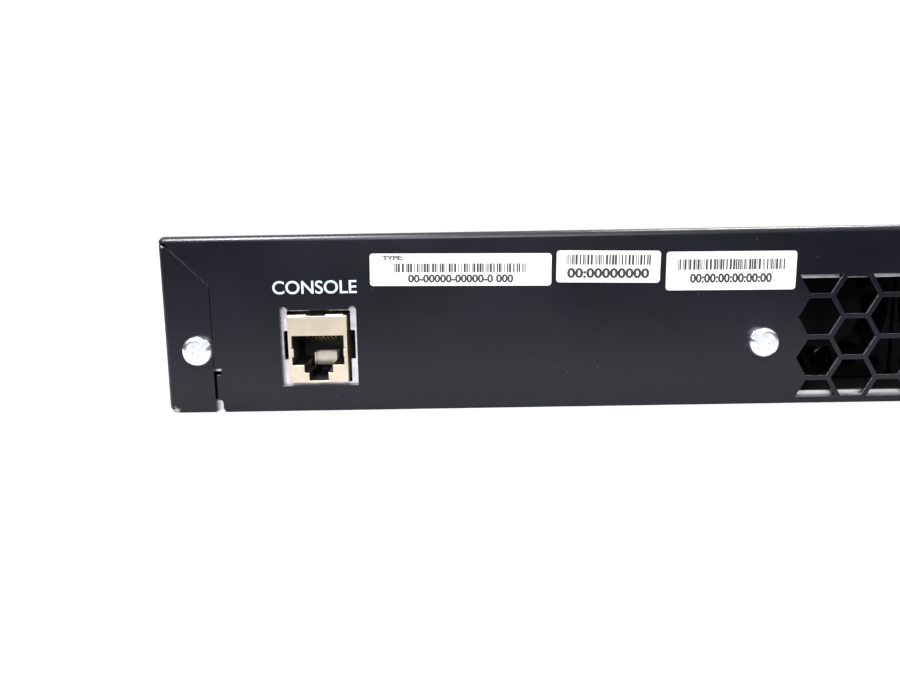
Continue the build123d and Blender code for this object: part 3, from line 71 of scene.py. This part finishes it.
class Shade:
    """Builds one node material a step at a time. Positions are the object's own, in metres."""

    def __init__(self, name, base, rough, metal=0.0):
        self.material = bpy.data.materials.new(name)
        self.material.use_nodes = True
        self.tree = self.material.node_tree
        self.shader = self.tree.nodes["Principled BSDF"]
        self.position = self.new("ShaderNodeTexCoord").outputs["Object"]
        self.set("Base Color", (*base, 1.0))
        self.set("Roughness", rough)
        self.set("Metallic", metal)
        self.material.diffuse_color = (*base, 1.0)

    def new(self, kind, **settings):
        node = self.tree.nodes.new(kind)
        for key, value in settings.items():
            setattr(node, key, value)
        return node

    def link(self, source, target):
        self.tree.links.new(source, target)

    def set(self, socket, value):
        """A socket takes either a constant or another node's output."""
        target = self.shader.inputs[socket]
        if isinstance(value, bpy.types.NodeSocket):
            self.link(value, target)
        else:
            target.default_value = value

    def feed(self, node, index, value):
        if isinstance(value, bpy.types.NodeSocket):
            self.link(value, node.inputs[index])
        else:
            node.inputs[index].default_value = value

    def stretched(self, x, y, z):
        node = self.new("ShaderNodeMapping")
        self.link(self.position, node.inputs["Vector"])
        node.inputs["Scale"].default_value = (x, y, z)
        return node.outputs["Vector"]

    def noise(self, size, detail=2.0, rough=0.5, at=None):
        """Smooth noise whose features are about size metres across."""
        node = self.new("ShaderNodeTexNoise")
        self.link(at or self.position, node.inputs["Vector"])
        node.inputs["Scale"].default_value = 1.0 / size
        node.inputs["Detail"].default_value = detail
        node.inputs["Roughness"].default_value = rough
        return node.outputs["Fac"]

    def cells(self, size, feature="F1", at=None):
        node = self.new("ShaderNodeTexVoronoi", feature=feature)
        self.link(at or self.position, node.inputs["Vector"])
        node.inputs["Scale"].default_value = 1.0 / size
        return node.outputs["Distance"]

    def step(self, value, low, high, out_low=0.0, out_high=1.0):
        """Eases from out_low to out_high as value goes from low to high."""
        node = self.new("ShaderNodeMapRange", interpolation_type="SMOOTHSTEP")
        self.link(value, node.inputs["Value"])
        set_range(node, low, high, out_low, out_high)
        return node.outputs["Result"]

    def math(self, operation, a, b=0.0):
        node = self.new("ShaderNodeMath", operation=operation)
        self.feed(node, 0, a)
        self.feed(node, 1, b)
        return node.outputs[0]

    def axis(self, letter):
        node = self.new("ShaderNodeSeparateXYZ")
        self.link(self.position, node.inputs[0])
        return node.outputs[letter]

    def normal(self, letter):
        """How far the surface faces along one axis, from -1 to 1."""
        node = self.new("ShaderNodeSeparateXYZ")
        self.link(self.new("ShaderNodeNewGeometry").outputs["Normal"], node.inputs[0])
        return node.outputs[letter]

    def bands(self, direction, scale, at=None):
        """Even stripes across one direction."""
        node = self.new("ShaderNodeTexWave", wave_type="BANDS", bands_direction=direction)
        self.link(at or self.position, node.inputs["Vector"])
        node.inputs["Scale"].default_value = scale
        return node.outputs["Fac"]

    def near(self, point, radius):
        """1 at a point, falling to 0 at radius."""
        node = self.new("ShaderNodeVectorMath", operation="DISTANCE")
        self.link(self.position, node.inputs[0])
        node.inputs[1].default_value = point
        return self.step(node.outputs["Value"], 0.0, radius, 1.0, 0.0)

    def blend(self, amount, a, b):
        node = self.new("ShaderNodeMix", data_type="RGBA")
        self.feed(node, 0, amount)
        self.feed(node, 6, (*a, 1.0) if isinstance(a, tuple) else a)
        self.feed(node, 7, (*b, 1.0) if isinstance(b, tuple) else b)
        return node.outputs[2]

    def bump(self, height, distance, strength=1.0, edge=0.0):
        """Relief of about distance metres. edge softens corners by that radius first."""
        node = self.new("ShaderNodeBump")
        node.inputs["Strength"].default_value = strength
        node.inputs["Distance"].default_value = distance
        self.link(height, node.inputs["Height"])
        if edge:
            soft = self.new("ShaderNodeBevel", samples=4)
            soft.inputs["Radius"].default_value = edge
            self.link(soft.outputs[0], node.inputs["Normal"])
        self.set("Normal", node.outputs["Normal"])


# ---------------------------------------------------------------- materials
PAINT, PAINT_SMEAR = (0.0050, 0.0050, 0.0090), (0.0065, 0.0065, 0.0115)


def powder_coat(name, worn_spots=()):
    """Semi-gloss powder coat with orange peel, dust and smears.

    The rear sheet's upward-facing cut edges are given a lighter colour as a painted highlight, and worn_spots
    are the places of chips."""
    s = Shade(name, PAINT, 0.32)
    smears = s.noise(0.035, 4.0, 0.6)
    colour = s.blend(s.step(smears, 0.35, 0.7), PAINT, PAINT_SMEAR)
    specks = s.step(s.cells(0.0032), 0.035, 0.06, 1.0, 0.0)
    sparse = s.step(s.noise(0.012), 0.52, 0.62)
    colour = s.blend(s.math("MULTIPLY", s.math("MULTIPLY", specks, sparse), 0.35), colour, (0.20, 0.20, 0.22))
    # painted highlight: upward-facing cut edges in the outermost layer of the rear sheet, below the lid's bend,
    # are lightened where light would catch them
    outermost = s.step(s.axis("Y"), REAR_FACE - 0.00045, REAR_FACE - 0.00035)
    edge = s.math("MULTIPLY", s.step(s.normal("Z"), 0.3, 0.45), outermost)
    edge = s.math("MULTIPLY", edge, s.step(s.axis("Z"), UNIT_HEIGHT - 0.0035, UNIT_HEIGHT - 0.003, 1.0, 0.0))
    edge = s.math("MULTIPLY", edge, s.step(s.noise(0.0009, 3.0, 0.6), 0.38, 0.48))
    colour = s.blend(edge, colour, (0.24, 0.24, 0.25))
    for point, radius in worn_spots:
        chips = s.step(s.noise(0.0011, 5.0, 0.7), 0.47, 0.53)
        colour = s.blend(s.math("MULTIPLY", chips, s.near(point, radius)), colour, (0.72, 0.71, 0.69))
    s.set("Base Color", colour)
    s.set("Roughness", s.step(smears, 0.3, 0.75, 0.27, 0.33))
    s.set("Specular IOR Level", 0.31)
    s.set("Specular Tint", (0.92, 0.92, 1.0, 1.0))
    peel = s.math("ADD", s.noise(0.0005, 2.0, 0.5), s.math("MULTIPLY", s.noise(0.0019, 2.0, 0.5), 1.5))
    s.bump(peel, 0.000025, 0.5, edge=0.00025)
    return s.material


def zinc_sheet():
    """Plated sheet, cool grey with faint rolling marks and blotches. The pan's upward-facing floor inside is
    painted near black and not metallic, as painted shade.
    """
    s = Shade("zinc_sheet", (0.72, 0.71, 0.76), 0.42, 1.0)
    grain = s.noise(0.0006, 3.0, 0.6, at=s.stretched(0.12, 1.0, 1.0))
    blotch = s.noise(0.006, 3.0, 0.6)
    plated = s.blend(s.step(blotch, 0.35, 0.65), (0.57, 0.55, 0.59), (0.71, 0.68, 0.72))
    # painted shade: upward-facing faces at the pan's floor height turn near black and lose their metal,
    # standing in for the shade inside the unit
    film = s.math("MULTIPLY", s.step(s.normal("Z"), 0.8, 0.9), s.step(s.axis("Z"), 0.0012, 0.0014, 1.0, 0.0))
    s.set("Base Color", s.blend(film, plated, (0.004, 0.004, 0.004)))
    s.set("Metallic", s.step(film, 0.0, 1.0, 1.0, 0.0))
    s.set("Roughness", s.step(grain, 0.3, 0.7, 0.34, 0.52))
    s.bump(grain, 0.00003, 0.5)
    return s.material


def plated_screw():
    """Bright bluish zinc with turning marks and scuffs on the high spots."""
    s = Shade("plated_screw", (0.66, 0.70, 0.76), 0.24, 1.0)
    scuff = s.noise(0.0012, 5.0, 0.7)
    s.set("Base Color", s.blend(s.step(scuff, 0.35, 0.68), (0.78, 0.83, 0.91), (0.95, 0.97, 0.98)))
    s.set("Roughness", s.step(scuff, 0.35, 0.7, 0.24, 0.30))
    s.bump(s.noise(0.0005, 2.0, 0.5), 0.000008, 0.4, edge=0.00018)
    return s.material


def jack_plate():
    """Thin nickel-plated shield, warm, with faint upright drawing marks."""
    s = Shade("jack_plate", (0.74, 0.70, 0.62), 0.3, 1.0)
    draw = s.noise(0.0004, 2.0, 0.5, at=s.stretched(1.0, 1.0, 0.06))
    stain = s.noise(0.004, 4.0, 0.6)
    s.set("Base Color", s.blend(s.step(stain, 0.35, 0.7), (0.64, 0.57, 0.46), (0.58, 0.50, 0.40)))
    s.set("Roughness", s.step(draw, 0.3, 0.7, 0.36, 0.40))
    s.bump(draw, 0.000002, 0.3, edge=0.00015)
    return s.material


def moulding(name, base, rough, grain=0.0004, depth=0.00004, tint=None, sheen=0.5):
    """Moulded plastic with a fine spark-eroded texture and a little uneven sheen."""
    s = Shade(name, base, rough)
    cloud = s.noise(0.02, 3.0, 0.6)
    lighter = tint or tuple(min(1.0, c * 1.35 + 0.004) for c in base)
    s.set("Base Color", s.blend(s.step(cloud, 0.35, 0.7), base, lighter))
    s.set("Roughness", s.step(cloud, 0.3, 0.7, rough - 0.05, rough + 0.06))
    s.set("Specular IOR Level", sheen)
    s.bump(s.noise(grain, 3.0, 0.55), depth, 0.5, edge=0.0002)
    return s.material


def gold_contact():
    """Gold plate, dulled where plugs wipe it."""
    s = Shade("gold_contact", (0.85, 0.64, 0.25), 0.25, 1.0)
    wipe = s.noise(0.0008, 3.0, 0.6)
    s.set("Base Color", s.blend(s.step(wipe, 0.4, 0.65), (0.88, 0.68, 0.30), (0.72, 0.50, 0.18)))
    s.set("Roughness", s.step(wipe, 0.3, 0.7, 0.18, 0.34))
    return s.material


def label_stock():
    """White film label, a touch warmer in soft patches, with a faint orange-peel."""
    s = Shade("label_stock", (0.88, 0.88, 0.87), 0.38)
    grime = s.noise(0.009, 4.0, 0.6)
    s.set("Base Color", s.blend(s.step(grime, 0.45, 0.75), (0.90, 0.90, 0.90), (0.80, 0.80, 0.78)))
    s.set("Roughness", s.step(grime, 0.3, 0.7, 0.32, 0.46))
    s.bump(s.noise(0.0012), 0.00002, 0.3)
    return s.material


def printed(name, colour):
    """Screen-printed or thermal ink: slightly broken at its edges."""
    s = Shade(name, colour, 0.5)
    wear = s.noise(0.0003, 3.0, 0.7)
    lighter = tuple(min(1.0, c * 1.15 + 0.01) for c in colour)
    s.set("Base Color", s.blend(s.step(wear, 0.5, 0.75), colour, lighter))
    s.set("Roughness", s.step(wear, 0.3, 0.7, 0.42, 0.56))
    return s.material


def laminate():
    """Green solder mask over a maze of copper tracks, with tinned pads."""
    s = Shade("laminate", (0.01, 0.10, 0.04), 0.32)
    squares = s.new("ShaderNodeTexVoronoi", feature="F1", distance="CHEBYCHEV")
    s.link(s.position, squares.inputs["Vector"])
    squares.inputs["Scale"].default_value = 1 / 0.004
    track = s.step(s.bands("DIAGONAL", 700.0, at=squares.outputs["Position"]), 0.42, 0.5)
    colour = s.blend(track, (0.008, 0.075, 0.03), (0.02, 0.16, 0.06))
    pads = s.step(s.cells(0.0035), 0.12, 0.16, 1.0, 0.0)
    crowd = s.step(s.noise(0.03), 0.5, 0.56)
    pad = s.math("MULTIPLY", pads, crowd)
    s.set("Base Color", s.blend(pad, colour, (0.62, 0.62, 0.58)))
    s.set("Metallic", s.math("MULTIPLY", pad, 0.9))
    s.bump(s.math("ADD", track, pad), 0.00004, 0.5)
    return s.material


def cast_metal(name, base, rough):
    """Extruded or drawn metal with faint lines along Y."""
    s = Shade(name, base, rough, 1.0)
    drawn = s.noise(0.0007, 3.0, 0.6, at=s.stretched(1.0, 0.05, 1.0))
    darker = tuple(c * 0.82 for c in base)
    s.set("Base Color", s.blend(s.step(drawn, 0.35, 0.7), base, darker))
    s.set("Roughness", s.step(drawn, 0.3, 0.7, rough - 0.08, rough + 0.08))
    s.bump(drawn, 0.00003, 0.5, edge=0.0002)
    return s.material


def copper_coil():
    """Fan stator: varnished copper turns between dark laminations."""
    s = Shade("copper_coil", (0.42, 0.15, 0.05), 0.35, 0.6)
    turns = s.bands("Y", 900.0)
    s.set("Base Color", s.blend(turns, (0.20, 0.06, 0.02), (0.58, 0.22, 0.08)))
    s.bump(turns, 0.0001, 0.8)
    return s.material


def winding_tape():
    """Yellow tape round the windings, in laps."""
    s = Shade("winding_tape", (0.72, 0.50, 0.06), 0.35)
    laps = s.bands("Z", 160.0)
    s.set("Base Color", s.blend(laps, (0.60, 0.40, 0.04), (0.82, 0.60, 0.10)))
    s.bump(laps, 0.0001, 0.6)
    return s.material


def can_sleeve():
    """Shrink sleeve with one pale stripe, and the bare vented top of each can."""
    s = Shade("can_sleeve", (0.015, 0.02, 0.05), 0.28)
    top = s.step(s.normal("Z"), 0.9, 0.97)
    stripe = s.step(s.normal("X"), 0.93, 0.95)
    colour = s.blend(stripe, (0.015, 0.02, 0.05), (0.55, 0.56, 0.58))
    s.set("Base Color", s.blend(top, colour, (0.75, 0.75, 0.76)))
    s.set("Metallic", top)
    s.bump(s.noise(0.003), 0.00005, 0.4)
    return s.material


def light_pipe():
    """Clear plastic with a slight haze."""
    s = Shade("light_pipe", (0.78, 0.82, 0.80), 0.18)
    haze = s.noise(0.0015)
    s.set("Base Color", s.blend(s.step(haze, 0.4, 0.7), (0.70, 0.76, 0.73), (0.86, 0.88, 0.86)))
    s.set("Transmission Weight", 0.35)
    s.bump(haze, 0.00002, 0.3, edge=0.0001)
    return s.material


def wire_sleeve(name, colours):
    """Wires of several colours, told apart by where they run across X."""
    s = Shade(name, colours[0], 0.42)
    lane = s.cells(0.0024, at=s.stretched(1.0, 0.0, 0.0))
    s.set("Base Color", s.blend(s.step(lane, 0.2, 0.24), colours[0], colours[1]))
    s.bump(s.noise(0.0015), 0.00004, 0.4)
    return s.material


def shaded_carrier():
    """Pale moulding, darkened towards its foot as painted shade."""
    s = Shade("pale_plastic", (0.90, 0.84, 0.74), 0.45)
    height = s.math("ADD", s.axis("Z"), s.math("MULTIPLY", s.noise(0.002), 0.001))
    # painted shade: the base colour runs from near black at the foot to pale at the top, with a noisy boundary
    s.set("Base Color", s.blend(s.step(height, 0.0108, 0.0126), (0.16, 0.13, 0.10), (0.94, 0.88, 0.78)))
    s.bump(s.noise(0.0006), 0.00002, 0.4)
    return s.material


# the seam's foot and its relief at the top, each with how far its chips reach
CHIPS = ((behind(1.4, 0.5), 0.0018), (behind(1.2, 41.8), 0.0007))
MATERIALS = {
    "cover_paint": powder_coat("cover_paint", CHIPS),
    "ear_paint": powder_coat("ear_paint"),
    "zinc_sheet": zinc_sheet(),
    "screw_zinc": plated_screw(),
    "jack_shield": jack_plate(),
    "jack_plastic": moulding("jack_plastic", (0.006, 0.006, 0.0065), 0.42, sheen=0.3),
    "contact_gold": gold_contact(),
    "bezel_plastic": moulding("bezel_plastic", (0.028, 0.032, 0.038), 0.5, 0.0005, 0.00008),
    "label_stock": label_stock(),
    "light_pipe": light_pipe(),
    "button_plastic": moulding("button_plastic", (0.30, 0.31, 0.32), 0.36),
    "board_laminate": laminate(),
    "chip_epoxy": moulding("chip_epoxy", (0.016, 0.016, 0.017), 0.55, 0.0003, 0.00005),
    "sink_aluminium": cast_metal("sink_aluminium", (0.76, 0.77, 0.79), 0.36),
    "fan_plastic": moulding("fan_plastic", (0.0015, 0.0015, 0.002), 0.6, 0.0008, 0.00004, sheen=0.03),
    "coil_copper": copper_coil(),
    "winding_tape": winding_tape(),
    "can_sleeve": can_sleeve(),
    "brass_pin": cast_metal("brass_pin", (0.80, 0.76, 0.66), 0.26),
    "inlet_plastic": moulding("inlet_plastic", (0.013, 0.013, 0.014), 0.3, 0.0006, 0.00003),
    "wire_sleeve": wire_sleeve("wire_sleeve", ((0.35, 0.02, 0.02), (0.02, 0.02, 0.02))),
}
PALE_PLASTIC = shaded_carrier()
WHITE_INK = printed("white_ink", (0.66, 0.80, 0.90))
BLACK_INK = printed("black_ink", (0.02, 0.02, 0.022))


def dress_cad_nodes():
    """Gives every CAD node the material of its slot in the record."""
    for row in frame["record"]["subparts"]:
        mesh = nodes[row["node"]].data
        mesh.materials.clear()
        mesh.materials.append(MATERIALS[row["material_slot"]])


# ---------------------------------------------------------------- piece makers
def piece(name, mesh, material, body="chassis"):
    thing = bpy.data.objects.new(name, mesh)
    bpy.context.scene.collection.objects.link(thing)
    mesh.materials.clear()
    mesh.materials.append(material)
    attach(thing, body)
    return thing


def add_box(bm, low, high):
    xs, ys, zs = zip(low, high)
    v = [bm.verts.new((x, y, z)) for x in xs for y in ys for z in zs]
    for loop in ((0, 1, 3, 2), (4, 6, 7, 5), (0, 4, 5, 1), (2, 3, 7, 6), (0, 2, 6, 4), (1, 5, 7, 3)):
        bm.faces.new([v[i] for i in loop])


def finished(bm, name):
    bmesh.ops.recalc_face_normals(bm, faces=bm.faces)
    mesh = bpy.data.meshes.new(name)
    bm.to_mesh(mesh)
    bm.free()
    return mesh


# the ink's thickness, and how far the strokes on the labels and in the legend are fattened
INK = 0.02 * MM
BOLD, LEGEND_BOLD = 0.035, 0.012
# printed bars and the gaps between them come in these widths, in millimetres
BAR_WIDTHS = (0.17, 0.17, 0.34, 0.5)
LEAST_BAR = 0.3


def lettering_mesh(text, axes, lowest_left, width, height, bold=0.0):
    """Letters stretched to a width and height, or centred at their own width where width is None."""
    curve = bpy.data.curves.new("letters", "FONT")
    curve.body = text
    curve.extrude, curve.offset = 1.0, bold
    carrier = bpy.data.objects.new("letters", curve)
    bpy.context.scene.collection.objects.link(carrier)
    bpy.context.view_layer.update()
    mesh = bpy.data.meshes.new_from_object(carrier.evaluated_get(bpy.context.evaluated_depsgraph_get()))
    bpy.data.objects.remove(carrier)
    xs, ys = [v.co.x for v in mesh.vertices], [v.co.y for v in mesh.vertices]
    x0, y0 = min(xs), min(ys)
    sy = height / (max(ys) - y0)
    sx = sy if width is None else width / (max(xs) - x0)
    shift = (max(xs) - x0) * sx / 2 if width is None else 0.0
    for v in mesh.vertices:
        local = Vector(((v.co.x - x0) * sx - shift, (v.co.y - y0) * sy, INK * (v.co.z + 1) / 2))
        v.co = lowest_left + axes @ local
    return mesh


def letters(name, text, axes, lowest_left, width, height, ink, slot, bold=0.0):
    return piece(name, lettering_mesh(text, axes, lowest_left, width, height, bold), ink)


def print_words(name, items, axes, ink):
    """One piece of several words, each given as text, place, width and height."""
    bm = bmesh.new()
    for text, place, width, height in items:
        mesh = lettering_mesh(text, axes, place, width, height)
        bm.from_mesh(mesh)
        bpy.data.meshes.remove(mesh)
    return piece(name, finished(bm, name), ink)


def bars(name, along0, along1, low, high, out, seed):
    """A row of plain printed bars. They carry no code: their widths come from a seeded draw."""
    draw = Random(seed)
    bm = bmesh.new()
    at = along0
    while at < along1 - LEAST_BAR:
        width = draw.choice(BAR_WIDTHS)
        a = behind(at, low, out)
        b = behind(min(at + width, along1), high, out + INK / MM)
        add_box(bm, (b.x, a.y, a.z), (a.x, b.y, b.z))
        at += width + draw.choice(BAR_WIDTHS)
    return piece(name, finished(bm, name), BLACK_INK)


# ---------------------------------------------------------------- prints on the back
def print_back():
    """The word over the management jack."""
    start, width, height = behind(27.67, 29.5), 20.75 * MM, 3.26 * MM
    letters(
        "console_legend", "CONSOLE", REAR_AXES, start, width, height, WHITE_INK, "cover_paint", LEGEND_BOLD
    )


# the carrier's block, its post and its lip, in millimetres: both sides from the jack's middle, the depth of the
# far and the near end inside the jack's mouth, and the bottom and top
CARRIER_BOXES = (
    (-3.0, 2.3, 14.4, 10.0, 10.1, 13.45),
    (2.5, 3.0, 14.4, 10.4, 10.1, 13.35),
    (-2.6, 1.9, 11.5, 10.6, 13.3, 13.7),
)


def fit_contact_carrier():
    """The pale block at the back of the management jack, below its contacts, with a post beside it."""
    low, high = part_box("console_housing")
    x, mouth = (low.x + high.x) / 2, high.y
    bm = bmesh.new()
    for x0, x1, deep, shallow, bottom, top in CARRIER_BOXES:
        corner = (x + x0 * MM, mouth - deep * MM, bottom * MM)
        add_box(bm, corner, (x + x1 * MM, mouth - shallow * MM, top * MM))
    block = piece("contact_carrier", finished(bm, "contact_carrier"), PALE_PLASTIC)
    edges = block.modifiers.new("edges", "BEVEL")
    edges.width, edges.segments, edges.limit_method = 0.12 * MM, 2, "ANGLE"


# ---------------------------------------------------------------- prints on the front
# places in millimetres, heights of letters in metres
JACK_PITCH = 13.97
NUMBER_OFFSET, NUMBER_FOOT, NUMBER_HEIGHT = 2.6, 40.5, 1.35 * MM
STATUS_WORDS = ("POWER", "BACKUP", "STATUS", "DUPLEX", "SPEED", "POE")
STATUS_TOP, STATUS_PITCH = 37.4, 4.0
WORD_GAP, LETTER_WIDTH, WORD_HEIGHT = 1.1, 1.15, 1.2 * MM
MODE_FOOT, MODE_HEIGHT = 3.6, 1.3 * MM


def in_front(x, z):
    """A point on the bezel's face, in millimetres."""
    return Vector((x * MM, FRONT_FACE, z * MM))


def middle_x(node):
    low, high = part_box(node)
    return (low.x + high.x) / 2 / MM


def print_front():
    """Port numbers over the lights, plain words beside the status lights and under the button."""
    blocks = [middle_x(f"port_shield_{i}") for i in range(1, 5)]
    centres = [x + (column - 2.5) * JACK_PITCH for x in blocks for column in range(6)]
    centres += [middle_x("uplink_shield"), middle_x("sfp_cage")]
    numbers = []
    for index, x in enumerate(centres):
        for port, offset in ((2 * index + 1, -NUMBER_OFFSET), (2 * index + 2, NUMBER_OFFSET)):
            numbers.append((str(port), in_front(x + offset, NUMBER_FOOT), None, NUMBER_HEIGHT))
    print_words("port_numbers", numbers, FRONT_AXES, WHITE_INK)
    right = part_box("status_light_pipes")[1].x / MM + WORD_GAP
    rows = [
        (word, in_front(right, STATUS_TOP - STATUS_PITCH * i), (LETTER_WIDTH * len(word)) * MM, WORD_HEIGHT)
        for i, word in enumerate(STATUS_WORDS)
    ]
    rows.append(("MODE", in_front(middle_x("status_light_pipes"), MODE_FOOT), None, MODE_HEIGHT))
    print_words("status_words", rows, FRONT_AXES, WHITE_INK)


# ---------------------------------------------------------------- prints on the labels
# how far each label leans, in degrees
LABEL_TILTS = {"model_label": 0.8, "serial_label": 1.15, "address_label": 0.45}
# shares of each label: bars' side margin, text width, bars' low and high edges, text's low and high edges
LABEL_LAYOUT = {
    "model_label": (0.135, 0.58, 0.42, 0.69, 0.10, 0.35),
    "serial_label": (0.095, 0.79, 0.56, 0.87, 0.14, 0.45),
    "address_label": (0.09, 0.63, 0.53, 0.80, 0.19, 0.43),
}
CAPTION_SIZE = (5.0 * MM, 1.05 * MM)


def print_labels():
    """Generic bars and rows of noughts stand where a real unit has its codes. They lean with their labels."""
    for number, node, mark, caption in (
        (1, "model_label", "00-00000-00000-0 000", "TYPE:"),
        (2, "serial_label", "00:00000000", ""),
        (3, "address_label", "00:00:00:00:00:00", ""),
    ):
        low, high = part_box(node)
        centre = (low + high) / 2
        tilt = radians(LABEL_TILTS[node])
        across, up = (high.x - low.x) / MM, (high.z - low.z) / MM
        wide = (across * cos(tilt) - up * sin(tilt)) / cos(2 * tilt)
        tall = (up * cos(tilt) - across * sin(tilt)) / cos(2 * tilt)
        out = (high.y - REAR_FACE) / MM
        along0, z0 = (LEFT_END - centre.x) / MM - wide / 2, centre.z / MM - tall / 2
        inset, text_w, bars_low, bars_high, text_low, text_high = LABEL_LAYOUT[node]
        ends = along0 + inset * wide, along0 + (1 - inset) * wide
        edges = z0 + bars_low * tall, z0 + bars_high * tall
        prints = [bars(f"label_bars_{number}", *ends, *edges, out, number)]
        corner = behind(along0 + (1 - text_w) / 2 * wide, z0 + text_low * tall, out)
        size = (text_w * wide * MM, (text_high - text_low) * tall * MM)
        prints.append(
            letters(f"label_mark_{number}", mark, REAR_AXES, corner, *size, BLACK_INK, "label_stock", BOLD)
        )
        if caption:
            corner = behind(along0 + 0.07 * wide, z0 + 0.80 * tall, out)
            ink = (BLACK_INK, "label_stock", BOLD)
            prints.append(letters("label_caption", caption, REAR_AXES, corner, *CAPTION_SIZE, *ink))
        lean = Matrix.Translation(centre) @ Matrix.Rotation(-tilt, 4, "Y") @ Matrix.Translation(-centre)
        for thing in prints:
            thing.data.transform(lean)


# ---------------------------------------------------------------- camera, lights, floor
LENS, SENSOR = 28.0, 36.0
CAMERA_PLACE = behind(71.5, 43.16, 172.1)
YAW, DOWN, ROLL = radians(-0.11), radians(8.29), radians(-0.95)


def place_camera():
    """Behind the left-hand end of the back, level with the lid, turned slightly down."""
    data = bpy.data.cameras.new("camera")
    data.lens, data.sensor_width = LENS, SENSOR
    data.clip_start = 0.005
    camera = bpy.data.objects.new("camera", data)
    bpy.context.scene.collection.objects.link(camera)
    ahead = Vector((-sin(YAW) * cos(DOWN), -cos(YAW) * cos(DOWN), -sin(DOWN)))
    level = Vector((-cos(YAW), sin(YAW), 0.0))
    top = level.cross(ahead)
    right = level * cos(ROLL) + top * sin(ROLL)
    top = top * cos(ROLL) - level * sin(ROLL)
    turn = Matrix((right, top, -ahead)).transposed()
    camera.matrix_world = Matrix.Translation(CAMERA_PLACE) @ turn.to_4x4()
    bpy.context.scene.camera = camera


def softbox(name, place, down, size, power, turn, glints_only=False):
    """A flat lamp facing down degrees below level, turned round Z. With glints_only it shows in gloss alone."""
    data = bpy.data.lights.new(name, "AREA")
    data.shape = "RECTANGLE"
    data.size, data.size_y = size
    data.energy = power
    lamp = bpy.data.objects.new(name, data)
    bpy.context.scene.collection.objects.link(lamp)
    lamp.visible_diffuse = not glints_only
    facing = Matrix.Rotation(radians(turn), 4, "Z") @ Matrix.Rotation(radians(90 - down), 4, "X")
    lamp.matrix_world = Matrix.Translation(place) @ facing


# how high a direction points (1 is straight up) where the sky's fade starts and ends, and its strength there
SKY_FADE, SKY_STRENGTH = (0.2, 0.65), (0.03, 1.62)
BACKDROP_STRENGTH = 1.05


def make_world():
    """Soft white light from overhead that fades towards a dim horizon. The backdrop itself shows white."""
    world = bpy.data.worlds.new("studio")
    bpy.context.scene.world = world
    world.use_nodes = True
    tree = world.node_tree
    background = tree.nodes["Background"]
    background.inputs["Color"].default_value = (1.0, 1.0, 1.0, 1.0)
    split = tree.nodes.new("ShaderNodeSeparateXYZ")
    tree.links.new(tree.nodes.new("ShaderNodeTexCoord").outputs["Generated"], split.inputs[0])
    fade = tree.nodes.new("ShaderNodeMapRange")
    fade.interpolation_type = "SMOOTHSTEP"
    tree.links.new(split.outputs["Z"], fade.inputs["Value"])
    set_range(fade, *SKY_FADE, *SKY_STRENGTH)
    seen = tree.nodes.new("ShaderNodeMix")
    tree.links.new(tree.nodes.new("ShaderNodeLightPath").outputs["Is Camera Ray"], seen.inputs[0])
    tree.links.new(fade.outputs["Result"], seen.inputs[2])
    seen.inputs[3].default_value = BACKDROP_STRENGTH
    tree.links.new(seen.outputs[0], background.inputs["Strength"])


# the floor stops behind the switch, just past what the camera sees, so that the paint doesn't mirror all of it
TABLE_EDGE = 0.285
FLOOR_LOW, FLOOR_HIGH = (-6.0, -8.0, -0.02), (6.0, TABLE_EDGE, 0.0)


# the strip lamps that make the glints: name, place, length, power and turn
STRIPS = (
    ("left_strip", (0.645, 0.96, 1.29), 0.85, 85.0, -31.0),
    ("right_strip", (-0.5, -0.3, 1.29), 0.72, 28.0, -56.0),
)
STRIP_WIDTH = 0.12


def make_studio():
    """The pale floor, the overhead light, two strips for glints and a soft lamp behind the camera."""
    floor_mesh = bpy.data.meshes.new("floor")
    bm = bmesh.new()
    add_box(bm, FLOOR_LOW, FLOOR_HIGH)
    bm.to_mesh(floor_mesh)
    bm.free()
    floor = bpy.data.objects.new("floor", floor_mesh)
    bpy.context.scene.collection.objects.link(floor)
    s = Shade("floor", (0.95, 0.95, 0.95), 0.8)
    s.set("Base Color", s.blend(s.noise(0.4), (0.94, 0.94, 0.94), (0.96, 0.96, 0.96)))
    floor_mesh.materials.append(s.material)
    make_world()
    for name, place, length, power, turn in STRIPS:
        softbox(name, place, down=90.0, size=(STRIP_WIDTH, length), power=power, turn=turn, glints_only=True)
    softbox("key", (0.1, 1.35, 0.6), down=20.0, size=(0.5, 0.5), power=12.0, turn=180.0)
    bpy.context.scene.view_settings.view_transform = "Standard"


dress_cad_nodes()
print_back()
print_labels()
fit_contact_carrier()
print_front()
place_camera()
make_studio()
